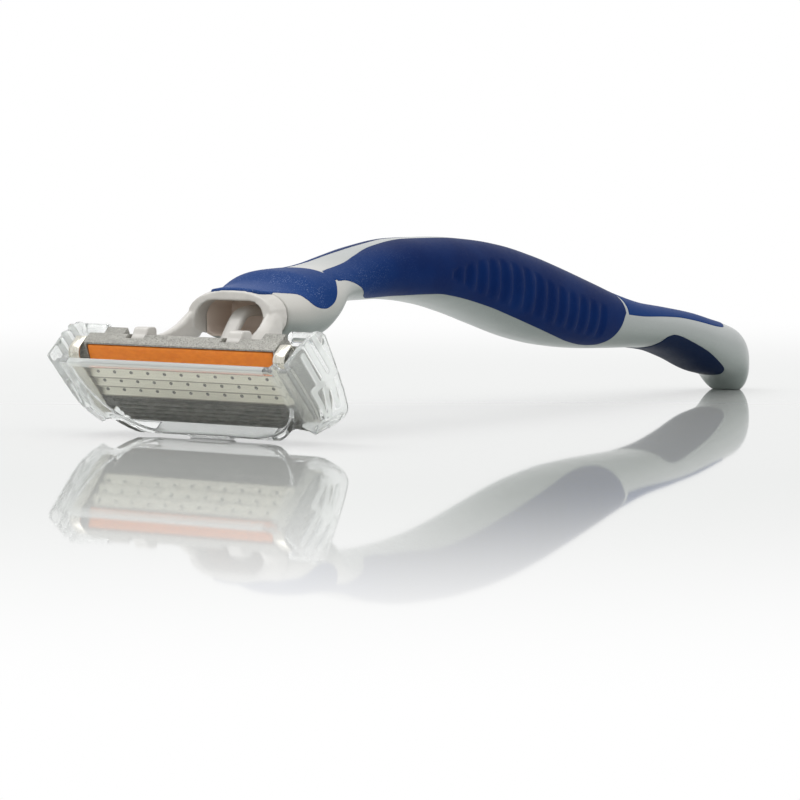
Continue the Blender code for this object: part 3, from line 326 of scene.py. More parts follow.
# Geometry node trees, with their sizes as named inputs
def newTree(name, sizes):
    tree = bpy.data.node_groups.new(name, "GeometryNodeTree")
    tree.interface.new_socket("Geometry", in_out="OUTPUT", socket_type="NodeSocketGeometry")
    tree.interface.new_socket("Geometry", in_out="INPUT", socket_type="NodeSocketGeometry")
    for label, kind in (*sizes, ("Material", "Material")):
        tree.interface.new_socket(label, in_out="INPUT", socket_type="NodeSocket" + kind)
    nodes = Nodes(tree)
    source = nodes.node("NodeGroupInput")
    return nodes, {socket.name: Number(socket) for socket in source.outputs if socket.name}


def endTree(nodes, shape, ways):
    whole = nodes.out("GeometryNodeRealizeInstances", None, {"Geometry": shape})
    painted = nodes.out("GeometryNodeSetMaterial", None, {"Geometry": whole, "Material": ways["Material"]})
    nodes.node("NodeGroupOutput", None, {0: painted})
    return nodes.tree


def runTree(tree, mesh, material, values):
    holder = bpy.data.objects.new("work", mesh)
    bpy.context.scene.collection.objects.link(holder)
    step = holder.modifiers.new(tree.name, "NODES")
    step.node_group = tree
    keys = {item.name: item.identifier for item in tree.interface.items_tree if item.in_out == "INPUT"}
    for label, value in {**values, "Material": material}.items():
        step[keys[label]] = value
    return settle(holder)


def repeatTree():
    nodes, ways = newTree("repeatInARow", (("Count", "Int"), ("Start", "Vector"), ("Step", "Vector")))
    row = nodes.out("GeometryNodeMeshLine", {"mode": "OFFSET"},
                    {"Count": ways["Count"], "Start Location": ways["Start"], "Offset": ways["Step"]})
    copies = nodes.out("GeometryNodeInstanceOnPoints", None, {"Points": row, "Instance": ways["Geometry"]})
    return endTree(nodes, copies, ways)


def grooveTree():
    # sinks a row of rounded grooves into a skin that carries its place in the row and its height
    nodes, ways = newTree("thumbGrooves", (("Count", "Int"), ("Depth", "Float"), ("Land", "Float")))
    place, height = (nodes.out("GeometryNodeInputNamedAttribute", {"data_type": "FLOAT"}, {"Name": name})
                     for name in ("groovePlace", "grooveHeight"))
    nearest = place.work("ROUND", place)
    aside = (abs(place - nearest) * 2.0 / (1.0 - ways["Land"])).cut()
    valley = place.work("COSINE", aside * quarter) ** 2.0
    reach = place.work("SQRT", (1.0 - height * height).cut())
    inRow = nearest.above(-0.5) * (ways["Count"] - nearest).above(0.5)
    depth = valley * reach * inRow * ways["Depth"] * -1.0
    sink = nodes.out("ShaderNodeVectorMath", {"operation": "SCALE"},
                     {0: nodes.out("GeometryNodeInputNormal"), "Scale": depth})
    shape = nodes.out("GeometryNodeSetPosition", None, {"Geometry": ways["Geometry"], "Offset": sink})
    return endTree(nodes, shape, ways)


repeat, grooves = repeatTree(), grooveTree()
print("node trees ready")

# The head's own directions: across, up the face towards the cap, and out of the blade face
head = {
    "hinge": Vector((0.0, -60.981 * mm, 12.327 * mm)),
    "lean": math.radians(42.4),
    "hingeUp": 2.2 * mm,       # towards the cap from the first row of welds
    "hingeDepth": 3.4 * mm,    # behind the blade face
}
faceUp = Vector((0.0, -math.sin(head["lean"]), math.cos(head["lean"])))
faceOut = Vector((0.0, -math.cos(head["lean"]), -math.sin(head["lean"])))


def onFace(x, y, n):
    return (head["hinge"] + Vector((x, 0.0, 0.0)) + faceUp * (y - head["hingeUp"])
            + faceOut * (n + head["hingeDepth"]))


def faceMesh(name, points, faces):
    # points are (across, up, out); nothing goes below the table
    placed = [onFace(*point) for point in points]
    for point in placed:
        point.z = max(point.z, 0.0)
    return meshFrom(name, placed, faces)


def layOnFace(mesh):
    for corner in mesh.vertices:
        corner.co = onFace(*corner.co)
        corner.co.z = max(corner.co.z, 0.0)
    mesh.update()
    return mesh


def headMoulding(node, voxel, smoothing):
    # a node of the head as one moulding, remeshed along the head's directions
    holder = cadCopy(node)
    base = onFace(0.0, 0.0, 0.0)
    turn = Matrix(((1.0, 0.0, 0.0), (0.0, faceUp.y, faceOut.y), (0.0, faceUp.z, faceOut.z)))
    holder.data.transform((Matrix.Translation(base) @ turn.to_4x4()).inverted())
    return layOnFace(softMesh(holder, voxel, smoothing))


# Handle: top and bottom as shares of the crest height, half width as a share of the grips' half width
handle = {
    "reach": 127.6 * mm,
    "start": -60.981 * mm,
    "crest": 25.0 * mm,
    "width": 14.2 * mm,
    "roundness": 2.35,
    "seam": 10.12 * mm,
    "seamDip": 0.14 * mm,
    "cavity": (5.8 * mm, 13.0 * mm, 17.64 * mm),   # half width, floor and roof
    "cavityPower": 0.4,                            # the lower, the squarer
    "cavitySteps": (                               # depth behind the seam, and how much wider it is there
        (5.0 * mm, -0.6 * mm), (4.7 * mm, -0.1 * mm), (0.15 * mm, 0.0), (0.0, 0.12 * mm),
    ),
    "tailFrom": 0.957,
    "tailSteps": ((0.9, 0.12 * mm), (0.7, 0.24 * mm), (0.4, 0.33 * mm)),   # size, and way past the reach
    "rings": 260, "tailRings": 40, "around": 112,
    "stations": (
        (0.060, 0.766, 0.490, 1.050), (0.080, 0.774, 0.486, 1.120), (0.097, 0.783, 0.475, 1.172),
        (0.108, 0.797, 0.467, 1.196), (0.118, 0.829, 0.464, 1.210), (0.128, 0.851, 0.464, 1.213),
        (0.145, 0.857, 0.477, 1.211), (0.165, 0.860, 0.538, 1.152), (0.185, 0.866, 0.634, 1.040),
        (0.210, 0.885, 0.670, 0.960), (0.240, 0.922, 0.674, 0.916), (0.280, 0.965, 0.675, 0.915),
        (0.330, 0.996, 0.660, 0.945), (0.385, 1.000, 0.622, 0.972), (0.440, 0.984, 0.558, 0.986),
        (0.490, 0.951, 0.486, 1.000), (0.550, 0.884, 0.402, 1.000), (0.600, 0.813, 0.355, 0.974),
        (0.660, 0.720, 0.324, 0.928), (0.710, 0.642, 0.313, 0.876), (0.770, 0.571, 0.303, 0.830),
        (0.820, 0.536, 0.273, 0.817), (0.875, 0.494, 0.200, 0.817), (0.920, 0.445, 0.120, 0.805),
        (0.940, 0.424, 0.100, 0.780), (0.957, 0.403, 0.072, 0.730), (0.967, 0.387, 0.030, 0.680),
        (0.975, 0.372, -0.022, 0.630), (0.988, 0.330, -0.022, 0.480), (0.996, 0.266, 0.040, 0.290),
        (1.000, 0.210, 0.110, 0.120),
    ),
}


def smoothCurve(stations, column, spread=0.003):
    # monotone curve through one column, softened a little so that reflections run evenly
    places = np.array([row[0] for row in stations])
    values = np.array([row[column] for row in stations])
    slopes = np.diff(values) / np.diff(places)
    tangents = np.zeros(len(values))
    tangents[0], tangents[-1] = slopes[0], slopes[-1]
    for i in range(1, len(values) - 1):
        if slopes[i - 1] * slopes[i] > 0.0:
            tangents[i] = 2.0 * slopes[i - 1] * slopes[i] / (slopes[i - 1] + slopes[i])
    fine = np.linspace(places[0], places[-1], 3001)
    span = np.clip(np.searchsorted(places, fine, side="right") - 1, 0, len(places) - 2)
    width = places[span + 1] - places[span]
    t = (fine - places[span]) / width
    curve = ((2 * t ** 3 - 3 * t ** 2 + 1) * values[span] + (3 * t ** 2 - 2 * t ** 3) * values[span + 1]
             + width * ((t ** 3 - 2 * t ** 2 + t) * tangents[span] + (t ** 3 - t ** 2) * tangents[span + 1]))
    step = fine[1] - fine[0]
    reach = int(3 * spread / step)
    weights = np.exp(-0.5 * (np.arange(-reach, reach + 1) * step / spread) ** 2)
    padded = np.pad(curve, reach, mode="reflect", reflect_type="odd")
    soft = np.convolve(padded, weights / weights.sum(), "valid")
    return lambda place: np.interp(place, fine, soft)


handleCurves = [smoothCurve(handle["stations"], column) for column in (1, 2, 3)]


def raised(value, power):
    return np.sign(value) * np.abs(value) ** power


def handleRing(share, turns, lift=0.0):
    # turn 0 is the right side, 1 the top, 2 the left side; lift is outwards from the skin
    top, bottom = (curve(share) * handle["crest"] for curve in handleCurves[:2])
    half = handleCurves[2](share) * handle["width"] / 2.0
    tall = (top - bottom) / 2.0
    angle = np.asarray(turns) * quarter
    across = raised(np.cos(angle), 2.0 / handle["roundness"])
    up = raised(np.sin(angle), 2.0 / handle["roundness"])
    sideways = raised(across, handle["roundness"] - 1.0) / half
    upwards = raised(up, handle["roundness"] - 1.0) / tall
    length = np.hypot(sideways, upwards)
    x = across * half + sideways / length * lift
    z = (top + bottom) / 2.0 + up * tall + upwards / length * lift
    y = np.full_like(x, handle["start"] + share * handle["reach"])
    return np.stack([x, y, np.maximum(z, 0.0)], axis=-1)


# Rubber outlines: share of the reach, then an edge as a share of the turn from the side (0) to the top (1)
pads = {
    "rise": 0.08 * mm,
    "rim": 0.32 * mm,
    "skirt": 0.25 * mm,
    "closeRows": (0.0, 0.03 * mm, 0.07 * mm, 0.12 * mm, 0.18 * mm, 0.26 * mm, 0.36 * mm),   # from the edge
    "evenFrom": 0.5 * mm,
    "depth": 0.75 * mm,
    "room": 0.6 * mm,
    "land": 0.35 * mm,
    "neckLow": (
        (0.068, 0.80), (0.0695, 0.71), (0.073, 0.65), (0.080, 0.59), (0.087, 0.55), (0.097, 0.49),
        (0.104, 0.42), (0.108, 0.29), (0.112, 0.16), (0.118, 0.06), (0.126, 0.01), (0.134, 0.00),
        (0.142, 0.02), (0.148, 0.06), (0.153, 0.14), (0.158, 0.26), (0.164, 0.38),
    ),
    "gripLow": (
        (0.167, 0.36), (0.176, 0.30), (0.186, 0.19), (0.196, 0.05), (0.207, -0.08), (0.218, -0.28),
        (0.230, -0.51), (0.247, -0.66), (0.291, -0.64), (0.335, -0.54), (0.364, -0.48), (0.397, -0.49),
        (0.449, -0.50), (0.491, -0.52), (0.535, -0.54), (0.577, -0.60), (0.608, -0.67), (0.638, -0.71),
        (0.660, -0.67), (0.674, -0.50), (0.682, -0.28), (0.690, -0.05), (0.698, 0.12),
    ),
    "gripHigh": (
        (0.167, 0.70), (0.189, 0.73), (0.213, 0.75), (0.237, 0.81), (0.270, 0.90), (0.300, 0.92),
        (0.330, 0.90), (0.372, 0.85), (0.430, 0.82), (0.500, 0.80), (0.570, 0.80), (0.630, 0.83),
        (0.698, 0.86),
    ),
    "bridgeLow": ((0.1605, 0.40), (0.1655, 0.385), (0.1715, 0.40)),
    "bridgeHigh": ((0.1605, 0.64), (0.1655, 0.66), (0.1715, 0.66)),
    "tailTopLow": (
        (0.702, 0.08), (0.733, 0.12), (0.783, 0.24), (0.831, 0.31), (0.878, 0.32), (0.915, 0.42),
        (0.932, 0.66), (0.936, 0.80),
    ),
    "tailBottomHigh": (
        (0.780, -0.84), (0.784, -0.46), (0.790, -0.24), (0.805, -0.14), (0.840, -0.22), (0.878, -0.31),
        (0.905, -0.40), (0.926, -0.52), (0.938, -0.70), (0.942, -0.86),
    ),
    "grooves": {"count": 14, "depth": 0.4 * mm, "land": 0.12, "start": 0.371, "end": 0.646},
    "grooveLow": ((0.371, -0.14), (0.408, -0.28), (0.452, -0.34), (0.553, -0.37), (0.646, -0.42)),
    "grooveHigh": ((0.371, 0.03), (0.408, 0.18), (0.452, 0.29), (0.500, 0.26), (0.553, 0.16), (0.646, 0.12)),
}


def padMesh(name, low, high, rows, columns, grow=0.0, grooved=0):
    # grow widens the outline; grooved is 1 for the right grip and -1 for the left
    start, end = low[0][0] - grow / handle["reach"], low[-1][0] + grow / handle["reach"]
    lowCurve, highCurve = smoothCurve(low, 1, 0.001), smoothCurve(high, 1, 0.001)
    near, evenFrom = np.array(pads["closeRows"]), pads["evenFrom"] / handle["reach"]
    shares = np.unique(np.concatenate([start + near / handle["reach"], end - near / handle["reach"],
                                       np.linspace(start + evenFrom, end - evenFrom, rows)]))
    outer, inner, places, heights = [], [], [], []
    grooveLow, grooveHigh = smoothCurve(pads["grooveLow"], 1), smoothCurve(pads["grooveHigh"], 1)
    for share in shares:
        inside = min(max(share, low[0][0]), low[-1][0])
        radius = handleCurves[2](share) * handle["width"] / 2.0 * quarter
        first, last = lowCurve(inside) - grow / radius, highCurve(inside) + grow / radius
        wide = (last - first) * radius
        edge = near * min(1.0, wide / (2.6 * near[-1]))
        between = np.linspace(edge[-1], wide - edge[-1], columns)[1:-1]
        across = np.concatenate([edge, between, wide - edge[::-1]])
        turns = first + across / radius
        side = np.minimum(across, wide - across)
        ends = min(share - start, end - share) * handle["reach"]
        gap = np.minimum(side, ends)
        bulge = np.sqrt(1.0 - (1.0 - np.clip(gap / pads["rim"], 0.0, 1.0)) ** 2)
        outer.append(handleRing(share, turns, -pads["skirt"] + (pads["skirt"] + pads["rise"]) * bulge))
        inner.append(handleRing(share, turns, -pads["depth"]))
        groove = pads["grooves"]
        upright = turns if grooved >= 0 else 2.0 - turns
        middle = (grooveLow(share) + grooveHigh(share)) / 2.0
        tall = (grooveHigh(share) - grooveLow(share)) / 2.0
        way = (share - groove["start"]) / (groove["end"] - groove["start"])
        places.append(np.full(len(turns), way * (groove["count"] - 1)))
        heights.append(np.clip((upright - middle) / tall, -1.0, 1.0))
    mesh = shellMesh(name, np.array(outer), np.array(inner))
    if not grooved:
        return mesh
    count = len(mesh.vertices) // 2
    for label, values in (("groovePlace", places), ("grooveHeight", heights)):
        flat = np.concatenate([np.array(values).ravel(), np.full(count, 1.0)])
        mesh.attributes.new(label, "FLOAT", "POINT").data.foreach_set("value", flat.astype(np.float32))
    return mesh


def mirrored(edge):
    return tuple((share, 2.0 - turn) for share, turn in edge)


bottomLow = tuple((share, -2.0 - turn) for share, turn in pads["tailBottomHigh"])
padEdges = (
    (pads["neckLow"], mirrored(pads["neckLow"])), (pads["gripLow"], pads["gripHigh"]),
    (mirrored(pads["gripHigh"]), mirrored(pads["gripLow"])),
    (pads["tailTopLow"], mirrored(pads["tailTopLow"])), (bottomLow, pads["tailBottomHigh"]),
)
padRooms = [((low[0][0], low[-1][0]), smoothCurve(low, 1, 0.001), smoothCurve(high, 1, 0.001))
            for low, high in padEdges]


def slant(edge, share, radius):
    # how much longer the way round to a pad's edge is than the way straight to it
    step = 0.002
    turned = edge(share + step) - edge(share - step)
    return math.hypot(1.0, turned * radius / (2.0 * step * handle["reach"]))


def underPads(share, turns):
    # how far the core lies below the skin under the rubber, clear of the thumb grooves
    radius = handleCurves[2](share) * handle["width"] / 2.0 * quarter
    deepest = np.zeros(len(turns))
    for (start, end), low, high in padRooms:
        if start < share < end:
            ahead = min(share - start, end - share) * handle["reach"]
            for around in (turns, turns - 4.0):
                aside = np.minimum((around - low(share)) / slant(low, share, radius),
                                   (high(share) - around) / slant(high, share, radius)) * radius
                inside = np.clip((np.minimum(aside, ahead) - pads["land"]) / pads["land"], 0.0, 1.0)
                deepest = np.maximum(deepest, inside * inside * (3.0 - 2.0 * inside))
    return deepest * pads["room"]


def handleMesh():
    turns = np.arange(handle["around"]) * 4.0 / handle["around"]
    seam = handle["seam"] / handle["reach"]
    half, floor, roof = handle["cavity"]
    squareX = raised(np.cos(turns * quarter), handle["cavityPower"])
    squareZ = raised(np.sin(turns * quarter), handle["cavityPower"])
    rings = []
    for depth, grow in handle["cavitySteps"]:
        y = np.full_like(squareX, handle["start"] + handle["seam"] + depth)
        z = (floor + roof) / 2.0 + squareZ * ((roof - floor) / 2.0 + grow)
        rings.append(np.stack([squareX * (half + grow), y, z], axis=-1))
    rings.append(handleRing(seam, turns, -handle["seamDip"]))
    rings += [handleRing(share, turns, -underPads(share, turns))
              for share in np.linspace(seam + 0.0012, handle["tailFrom"] - 0.002, handle["rings"])]
    rings += [handleRing(share, turns) for share in np.linspace(handle["tailFrom"], 1.0, handle["tailRings"])]
    last = rings[-1]
    middle = last.mean(axis=0)
    for size, ahead in handle["tailSteps"]:
        ring = middle + (last - middle) * size
        ring[:, 1] += ahead
        rings.append(ring)
    count = handle["around"]
    faces = gridFaces(len(rings), count, closed=True)
    faces.append(tuple(range(count)))
    faces.append(tuple(range((len(rings) - 1) * count, len(rings) * count)))
    return meshFrom("handleShell", [tuple(point) for point in np.concatenate(rings)], faces)


silver = {
    # the colour for the downward-facing skin is painted shade with a greenish floor reflection
    "neck": paint(196, 194, 188), "spine": paint(160, 165, 164), "under": paint(128, 137, 133),
    # painted light: the neck colour is the same silver as the spine lit from the front, fading into the spine
    # colour between the two places below
    "neckEnd": -48.0 * mm, "spineStart": -26.0 * mm,
    "fleck": paint(214, 214, 210), "fleckShare": 0.3, "grain": 0.11 * mm, "fleckLimits": (0.56, 0.72),
    # painted light: the cavity's walls are painted lighter and warmer, for light shining through the plastic
    # into the shaded cavity
    "hollowGlow": paint(232, 214, 200), "hollowGlowShare": 0.85,     # the cavity's walls
    "hollowMiddle": 15.3 * mm, "hollowTall": 2.4 * mm, "hollowFront": -45.7 * mm,
    "coat": {"Coat Weight": 0.25, "Coat Roughness": 0.18},
    "rough": (0.30, 0.12, 3.0 * mm, 2.0), "bumps": (0.3 * mm, 3.0, 0.006 * mm),
}
silverFinish, s, shader = newFinish("silverPlastic", silver["coat"])
place = s.place()
along = s.axis(place, "Y")
# painted light: lighter towards the neck, where the front light falls
body = s.colour(along.ease(silver["neckEnd"], silver["spineStart"]), silver["neck"], silver["spine"])
facing = s.axis(s.out("ShaderNodeNewGeometry", output="Normal"), "Z")
# painted shade and floor reflection on surfaces that face down
body = s.colour(1.0 - facing.ease(-0.7, 0.5), body, silver["under"])
flecks = s.noise(place, silver["grain"], 2.0, 0.7).ease(*silver["fleckLimits"])
body = s.colour(flecks * silver["fleckShare"], body, silver["fleck"])
# painted light inside the cavity, where the walls would otherwise fall in shade
aside = abs(s.axis(place, "X")) / handle["cavity"][0]
upright = abs(s.axis(place, "Z") - silver["hollowMiddle"]) / silver["hollowTall"]
hollowGlow = aside.larger(upright).below(1.03) * along.below(silver["hollowFront"])
body = s.colour(hollowGlow * silver["hollowGlowShare"], body, silver["hollowGlow"])
finishOff(s, shader, place, body, silver)
newPiece("handleShell", handleMesh(), silverFinish, "handle", ["handle_core"], 50.0)
print("handle shell")

rubber = {
    "deep": paint(0, 30, 80), "near": paint(8, 50, 108), "sheen": paint(44, 72, 128),
    "fleck": paint(170, 186, 220), "navy": paint(0, 24, 54), "grain": 0.16 * mm, "gloss": 0.05,
    "fleckLimits": (0.56, 0.68), "patch": 3.5 * mm, "patchLimits": (0.42, 0.62), "patchLeast": 0.3,
    "blot": (6.0 * mm, 0.2),
    "rough": (0.42, 0.14, 0.6 * mm, 3.0), "bumps": (0.14 * mm, 2.0, 0.010 * mm),
}


def rubberFinish(name, fleckShare, nearColour, deepColour, start=0.0, end=100.0 * mm):
    # paler and flecked towards the head, and wholly the deep colour from the end place on
    finish, s, shader = newFinish(name, {"Specular IOR Level": rubber["gloss"]})
    place = s.place()
    far = s.axis(place, "Y").ease(start, end)
    body = s.colour(far, nearColour, deepColour)
    blotWidth, blotShare = rubber["blot"]
    body = s.colour(s.noise(place, blotWidth, 3.0).ease(0.35, 0.7) * blotShare, body, nearColour)
    speck = s.noise(place, rubber["grain"], 2.0, 0.75).ease(*rubber["fleckLimits"])
    patchy = s.noise(place, rubber["patch"], 2.0).ease(*rubber["patchLimits"])
    patchy = patchy * (1.0 - rubber["patchLeast"]) + rubber["patchLeast"]
    body = s.colour(speck * patchy * (1.0 - far * 0.92) * fleckShare, body, rubber["fleck"])
    finishOff(s, shader, place, body, rubber)
    return finish


neckRubber = rubberFinish("pearlBlueRubber", 0.8, rubber["sheen"], rubber["near"], -52.0 * mm, -40.0 * mm)
gripRubber = rubberFinish("blueRubber", 0.3, rubber["near"], rubber["deep"], -40.0 * mm, -20.0 * mm)
tailRubber = rubberFinish("tailBlueRubber", 0.0, rubber["near"], rubber["near"])
bottomRubber = rubberFinish("darkBlueRubber", 0.0, rubber["navy"], rubber["navy"])

newPiece("neckPad", padMesh("neckPad", pads["neckLow"], mirrored(pads["neckLow"]), 60, 60, 0.1 * mm),
         neckRubber, "handle", ["neck_pad"])
for name, low, high, grooved, node in (
        ("gripRight", pads["gripLow"], pads["gripHigh"], 1, "grip_right"),
        ("gripLeft", mirrored(pads["gripHigh"]), mirrored(pads["gripLow"]), -1, "grip_left")):
    skin = padMesh(name, low, high, 330, 46, grooved=grooved)
    groove = pads["grooves"]
    skin = runTree(grooves, skin, gripRubber,
                   {"Count": groove["count"], "Depth": groove["depth"], "Land": groove["land"]})
    newPiece(name, skin, gripRubber, "handle", [node])
for name, low, high in (("padBridgeRight", pads["bridgeLow"], pads["bridgeHigh"]),
                        ("padBridgeLeft", mirrored(pads["bridgeHigh"]), mirrored(pads["bridgeLow"]))):
    newPiece(name, padMesh(name, low, high, 12, 14), gripRubber, "handle")
newPiece("tailTopPad", padMesh("tailTopPad", pads["tailTopLow"], mirrored(pads["tailTopLow"]), 130, 50),
         tailRubber, "handle", ["tail_top_pad"])
newPiece("tailBottomPad", padMesh("tailBottomPad", bottomLow, pads["tailBottomHigh"], 90, 40),
         bottomRubber, "handle", ["tail_bottom_pad"])
print("rubber pads")

# Yoke: the frame's node as one soft moulding
yoke = {"voxel": 0.14 * mm, "smoothing": 7}
pearl = {
    "colour": paint(208, 205, 199), "shade": paint(194, 191, 185), "blot": 4.0 * mm,
    "fleck": paint(230, 229, 224), "fleckShare": 0.35, "grain": 0.12 * mm, "fleckLimits": (0.56, 0.74),
    "coat": {"Coat Weight": 0.3, "Coat Roughness": 0.15},
    "rough": (0.28, 0.12, 2.0 * mm, 2.0), "bumps": (0.25 * mm, 3.0, 0.006 * mm),
}
pearlFinish, s, shader = newFinish("pearlPlastic", pearl["coat"])
place = s.place()
body = s.colour(s.noise(place, pearl["blot"], 3.0).ease(0.35, 0.7), pearl["colour"], pearl["shade"])
flecks = s.noise(place, pearl["grain"], 2.0, 0.7).ease(*pearl["fleckLimits"])
body = s.colour(flecks * pearl["fleckShare"], body, pearl["fleck"])
finishOff(s, shader, place, body, pearl)
newPiece("yokeFrame", softMesh(cadCopy("yoke_frame"), yoke["voxel"], yoke["smoothing"]), pearlFinish,
         "handle", ["yoke_frame"], 60.0)
print("yoke")

# Return finger: rounded bar from the neck's cavity to the back of the head
finger = {
    "width": 2.4 * mm, "rootThick": 1.5 * mm, "tipThick": 0.9 * mm,
    "root": (handle["start"] + 14.95 * mm, 16.2 * mm), "contact": (-3.4 * mm, -4.9 * mm),
    "shares": (                # of the way, with the shares of the drop and of the thinning there
        (0.00, 0.00, 0.00), (0.25, 0.00, 0.10), (0.40, 0.02, 0.40), (0.50, 0.07, 0.60),
        (0.60, 0.21, 0.80), (0.69, 0.38, 1.00), (0.78, 0.56, 1.00), (0.86, 0.72, 1.00),
        (1.00, 1.00, 1.00),
    ),
    "squareness": 0.62, "ends": (0.8, 0.7), "rings": 60, "around": 28,
}


def fingerMesh():
    down, thin = smoothCurve(finger["shares"], 1, 0.03), smoothCurve(finger["shares"], 2, 0.05)
    tip = onFace(0.0, *finger["contact"])
    rootY, rootZ = finger["root"]
    ts = np.linspace(0.0, 1.0, finger["rings"])
    line = np.stack([rootY + (tip.y - rootY) * ts, rootZ + (tip.z - rootZ) * down(ts)], axis=-1)
    ways = np.gradient(line, axis=0)
    ways /= np.linalg.norm(ways, axis=1)[:, None]
    thick = finger["rootThick"] + (finger["tipThick"] - finger["rootThick"]) * thin(ts)
    angles = (np.arange(finger["around"]) + 0.5) / finger["around"] * math.tau
    rings = []
    for (y, z), (wayY, wayZ), deep in zip(line, ways, thick):
        side = raised(np.cos(angles), finger["squareness"]) * finger["width"] / 2.0
        lift = raised(np.sin(angles), finger["squareness"]) * deep / 2.0
        rings.append(np.stack([side, y - wayZ * lift, z + wayY * lift], axis=-1))
    first, last = rings[0].mean(axis=0), rings[-1].mean(axis=0)
    rootSize, tipSize = finger["ends"]
    tipStep = np.array([0.0, *ways[-1]]) * 0.15 * mm
    rings = [first + (rings[0] - first) * rootSize] + rings + [last + (rings[-1] - last) * tipSize + tipStep]
    count = finger["around"]
    faces = gridFaces(len(rings), count, closed=True)
    faces += [tuple(range(count)), tuple(range((len(rings) - 1) * count, len(rings) * count))]
    return meshFrom("returnFinger", [tuple(point) for point in np.concatenate(rings)], faces)


fingerPiece = newPiece("returnFinger", fingerMesh(), pearlFinish, None,
                       ["return_finger"], 50.0)
tuple(onFace(0.0, *finger["contact"]))
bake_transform(fingerPiece)
print("return finger")

# Cartridge housing
housing = {
    "edge": 0.14 * mm, "light": paint(184, 183, 176), "mid": paint(154, 152, 145),
    "dark": paint(120, 119, 113), "grain": 0.13 * mm, "blotch": 0.45 * mm, "blotchShare": 0.6,
    "metallic": {"Metallic": 0.35}, "rough": (0.34, 0.25), "bumps": (0.16 * mm, 3.0, 0.05 * mm),
}
grainFinish, s, shader = newFinish("grainedPlastic", housing["metallic"])
place = s.place()
tone = s.axis(s.cells(place, housing["grain"]), "X")
blotch = s.noise(place, housing["blotch"], 3.0, 0.7)
body = s.colour(tone.ease(0.1, 0.9), housing["dark"], housing["light"])
body = s.colour(blotch.ease(0.35, 0.65) * housing["blotchShare"], body, housing["mid"])
least, spread = housing["rough"]
width, detail, height = housing["bumps"]
feed(shader, {"Base Color": body, "Roughness": least + tone * spread,
              "Normal": s.bump(s.noise(place, width, detail, 0.7) + tone * 0.6, height)})
newPiece("cartridgeHousing", roundedCopy("cartridge_housing", housing["edge"]), grainFinish,
         "cartridge", ["cartridge_housing"], 35.0)

# Lubricating strip: crowned bar with rounded edges
strip = {
    "length": 31.2 * mm, "low": 1.35 * mm, "high": 3.55 * mm,
    "lowDepth": 0.27 * mm, "highDepth": 1.203 * mm,
    "thick": 0.85 * mm, "edge": 0.16 * mm, "crown": 0.05 * mm,
    "ends": ((0.0, 0.16 * mm), (0.05 * mm, 0.06 * mm), (0.16 * mm, 0.0)),   # way in, and how much smaller
    "light": paint(250, 152, 58), "colour": paint(246, 140, 36), "shade": paint(236, 128, 30),
    "worn": 0.5 * mm, "scratch": 0.12 * mm, "scratchShare": 0.18, "scratchLimits": (0.60, 0.72),
    "paleFrom": 11.2 * mm, "paleTo": 13.9 * mm, "paleShare": 0.45,   # heights above the table
    "rough": (0.42, 0.2), "bump": 0.03 * mm,
    "depth": {"Subsurface Weight": 0.08, "Subsurface Scale": 0.001},
}


def stripMesh():
    slope = Vector((strip["high"] - strip["low"], strip["lowDepth"] - strip["highDepth"]))
    wide = slope.length
    along = slope / wide
    out = Vector((-along.y, along.x))
    edge = strip["edge"]
    outline = []
    for share in np.linspace(0.0, 1.0, 9):
        across = edge + (wide - 2.0 * edge) * share
        outline.append((across, strip["crown"] * (1.0 - (2.0 * share - 1.0) ** 2)))
    for angle in (60.0, 30.0, 0.0):
        outline.append((wide - edge + edge * math.cos(math.radians(angle)),
                        -edge + edge * math.sin(math.radians(angle))))
    outline += [(wide, -strip["thick"]), (0.0, -strip["thick"])]
    for angle in (0.0, 30.0, 60.0):
        outline.append((edge - edge * math.cos(math.radians(angle)),
                        -edge + edge * math.sin(math.radians(angle))))
    half = strip["length"] / 2.0
    middle = (wide / 2.0, -strip["thick"] / 2.0)
    points = []
    stations = [(-half + inward, less) for inward, less in strip["ends"]]
    stations += [(x, 0.0) for x in np.linspace(-half + 1.0 * mm, half - 1.0 * mm, 40)]
    stations += [(half - inward, less) for inward, less in reversed(strip["ends"])]
    for x, less in stations:
        for across, lift in outline:
            across += math.copysign(min(abs(across - middle[0]), less), middle[0] - across)
            lift += math.copysign(min(abs(lift - middle[1]), less), middle[1] - lift)
            place = along * across + out * lift
            points.append((x, strip["low"] + place.x, -strip["lowDepth"] + place.y))
    rows, count = len(stations), len(outline)
    faces = gridFaces(rows, count, closed=True)
    faces += [tuple(range(count)), tuple(range((rows - 1) * count, rows * count))]
    return faceMesh("lubricatingStrip", points, faces)


stripFinish, s, shader = newFinish("orangeStrip", strip["depth"])
place = s.place()
worn = s.noise(s.stretched(place, (0.5, 1.0, 1.0)), strip["worn"], 4.0, 0.6)
body = s.colour(worn.ease(0.3, 0.7), strip["shade"], strip["colour"])
pale = s.axis(place, "Z").ease(strip["paleFrom"], strip["paleTo"])
body = s.colour(pale * strip["paleShare"], body, strip["light"])
scratch = s.noise(s.stretched(place, (0.06, 1.0, 1.0)), strip["scratch"], 2.0).ease(*strip["scratchLimits"])
body = s.colour(scratch * strip["scratchShare"], body, strip["light"])
least, spread = strip["rough"]
feed(shader, {"Base Color": body, "Roughness": least + worn * spread,
              "Normal": s.bump(worn + scratch * 0.4, strip["bump"])})
newPiece("lubricatingStrip", stripMesh(), stripFinish, "cartridge",
         ["lubricating_strip"])

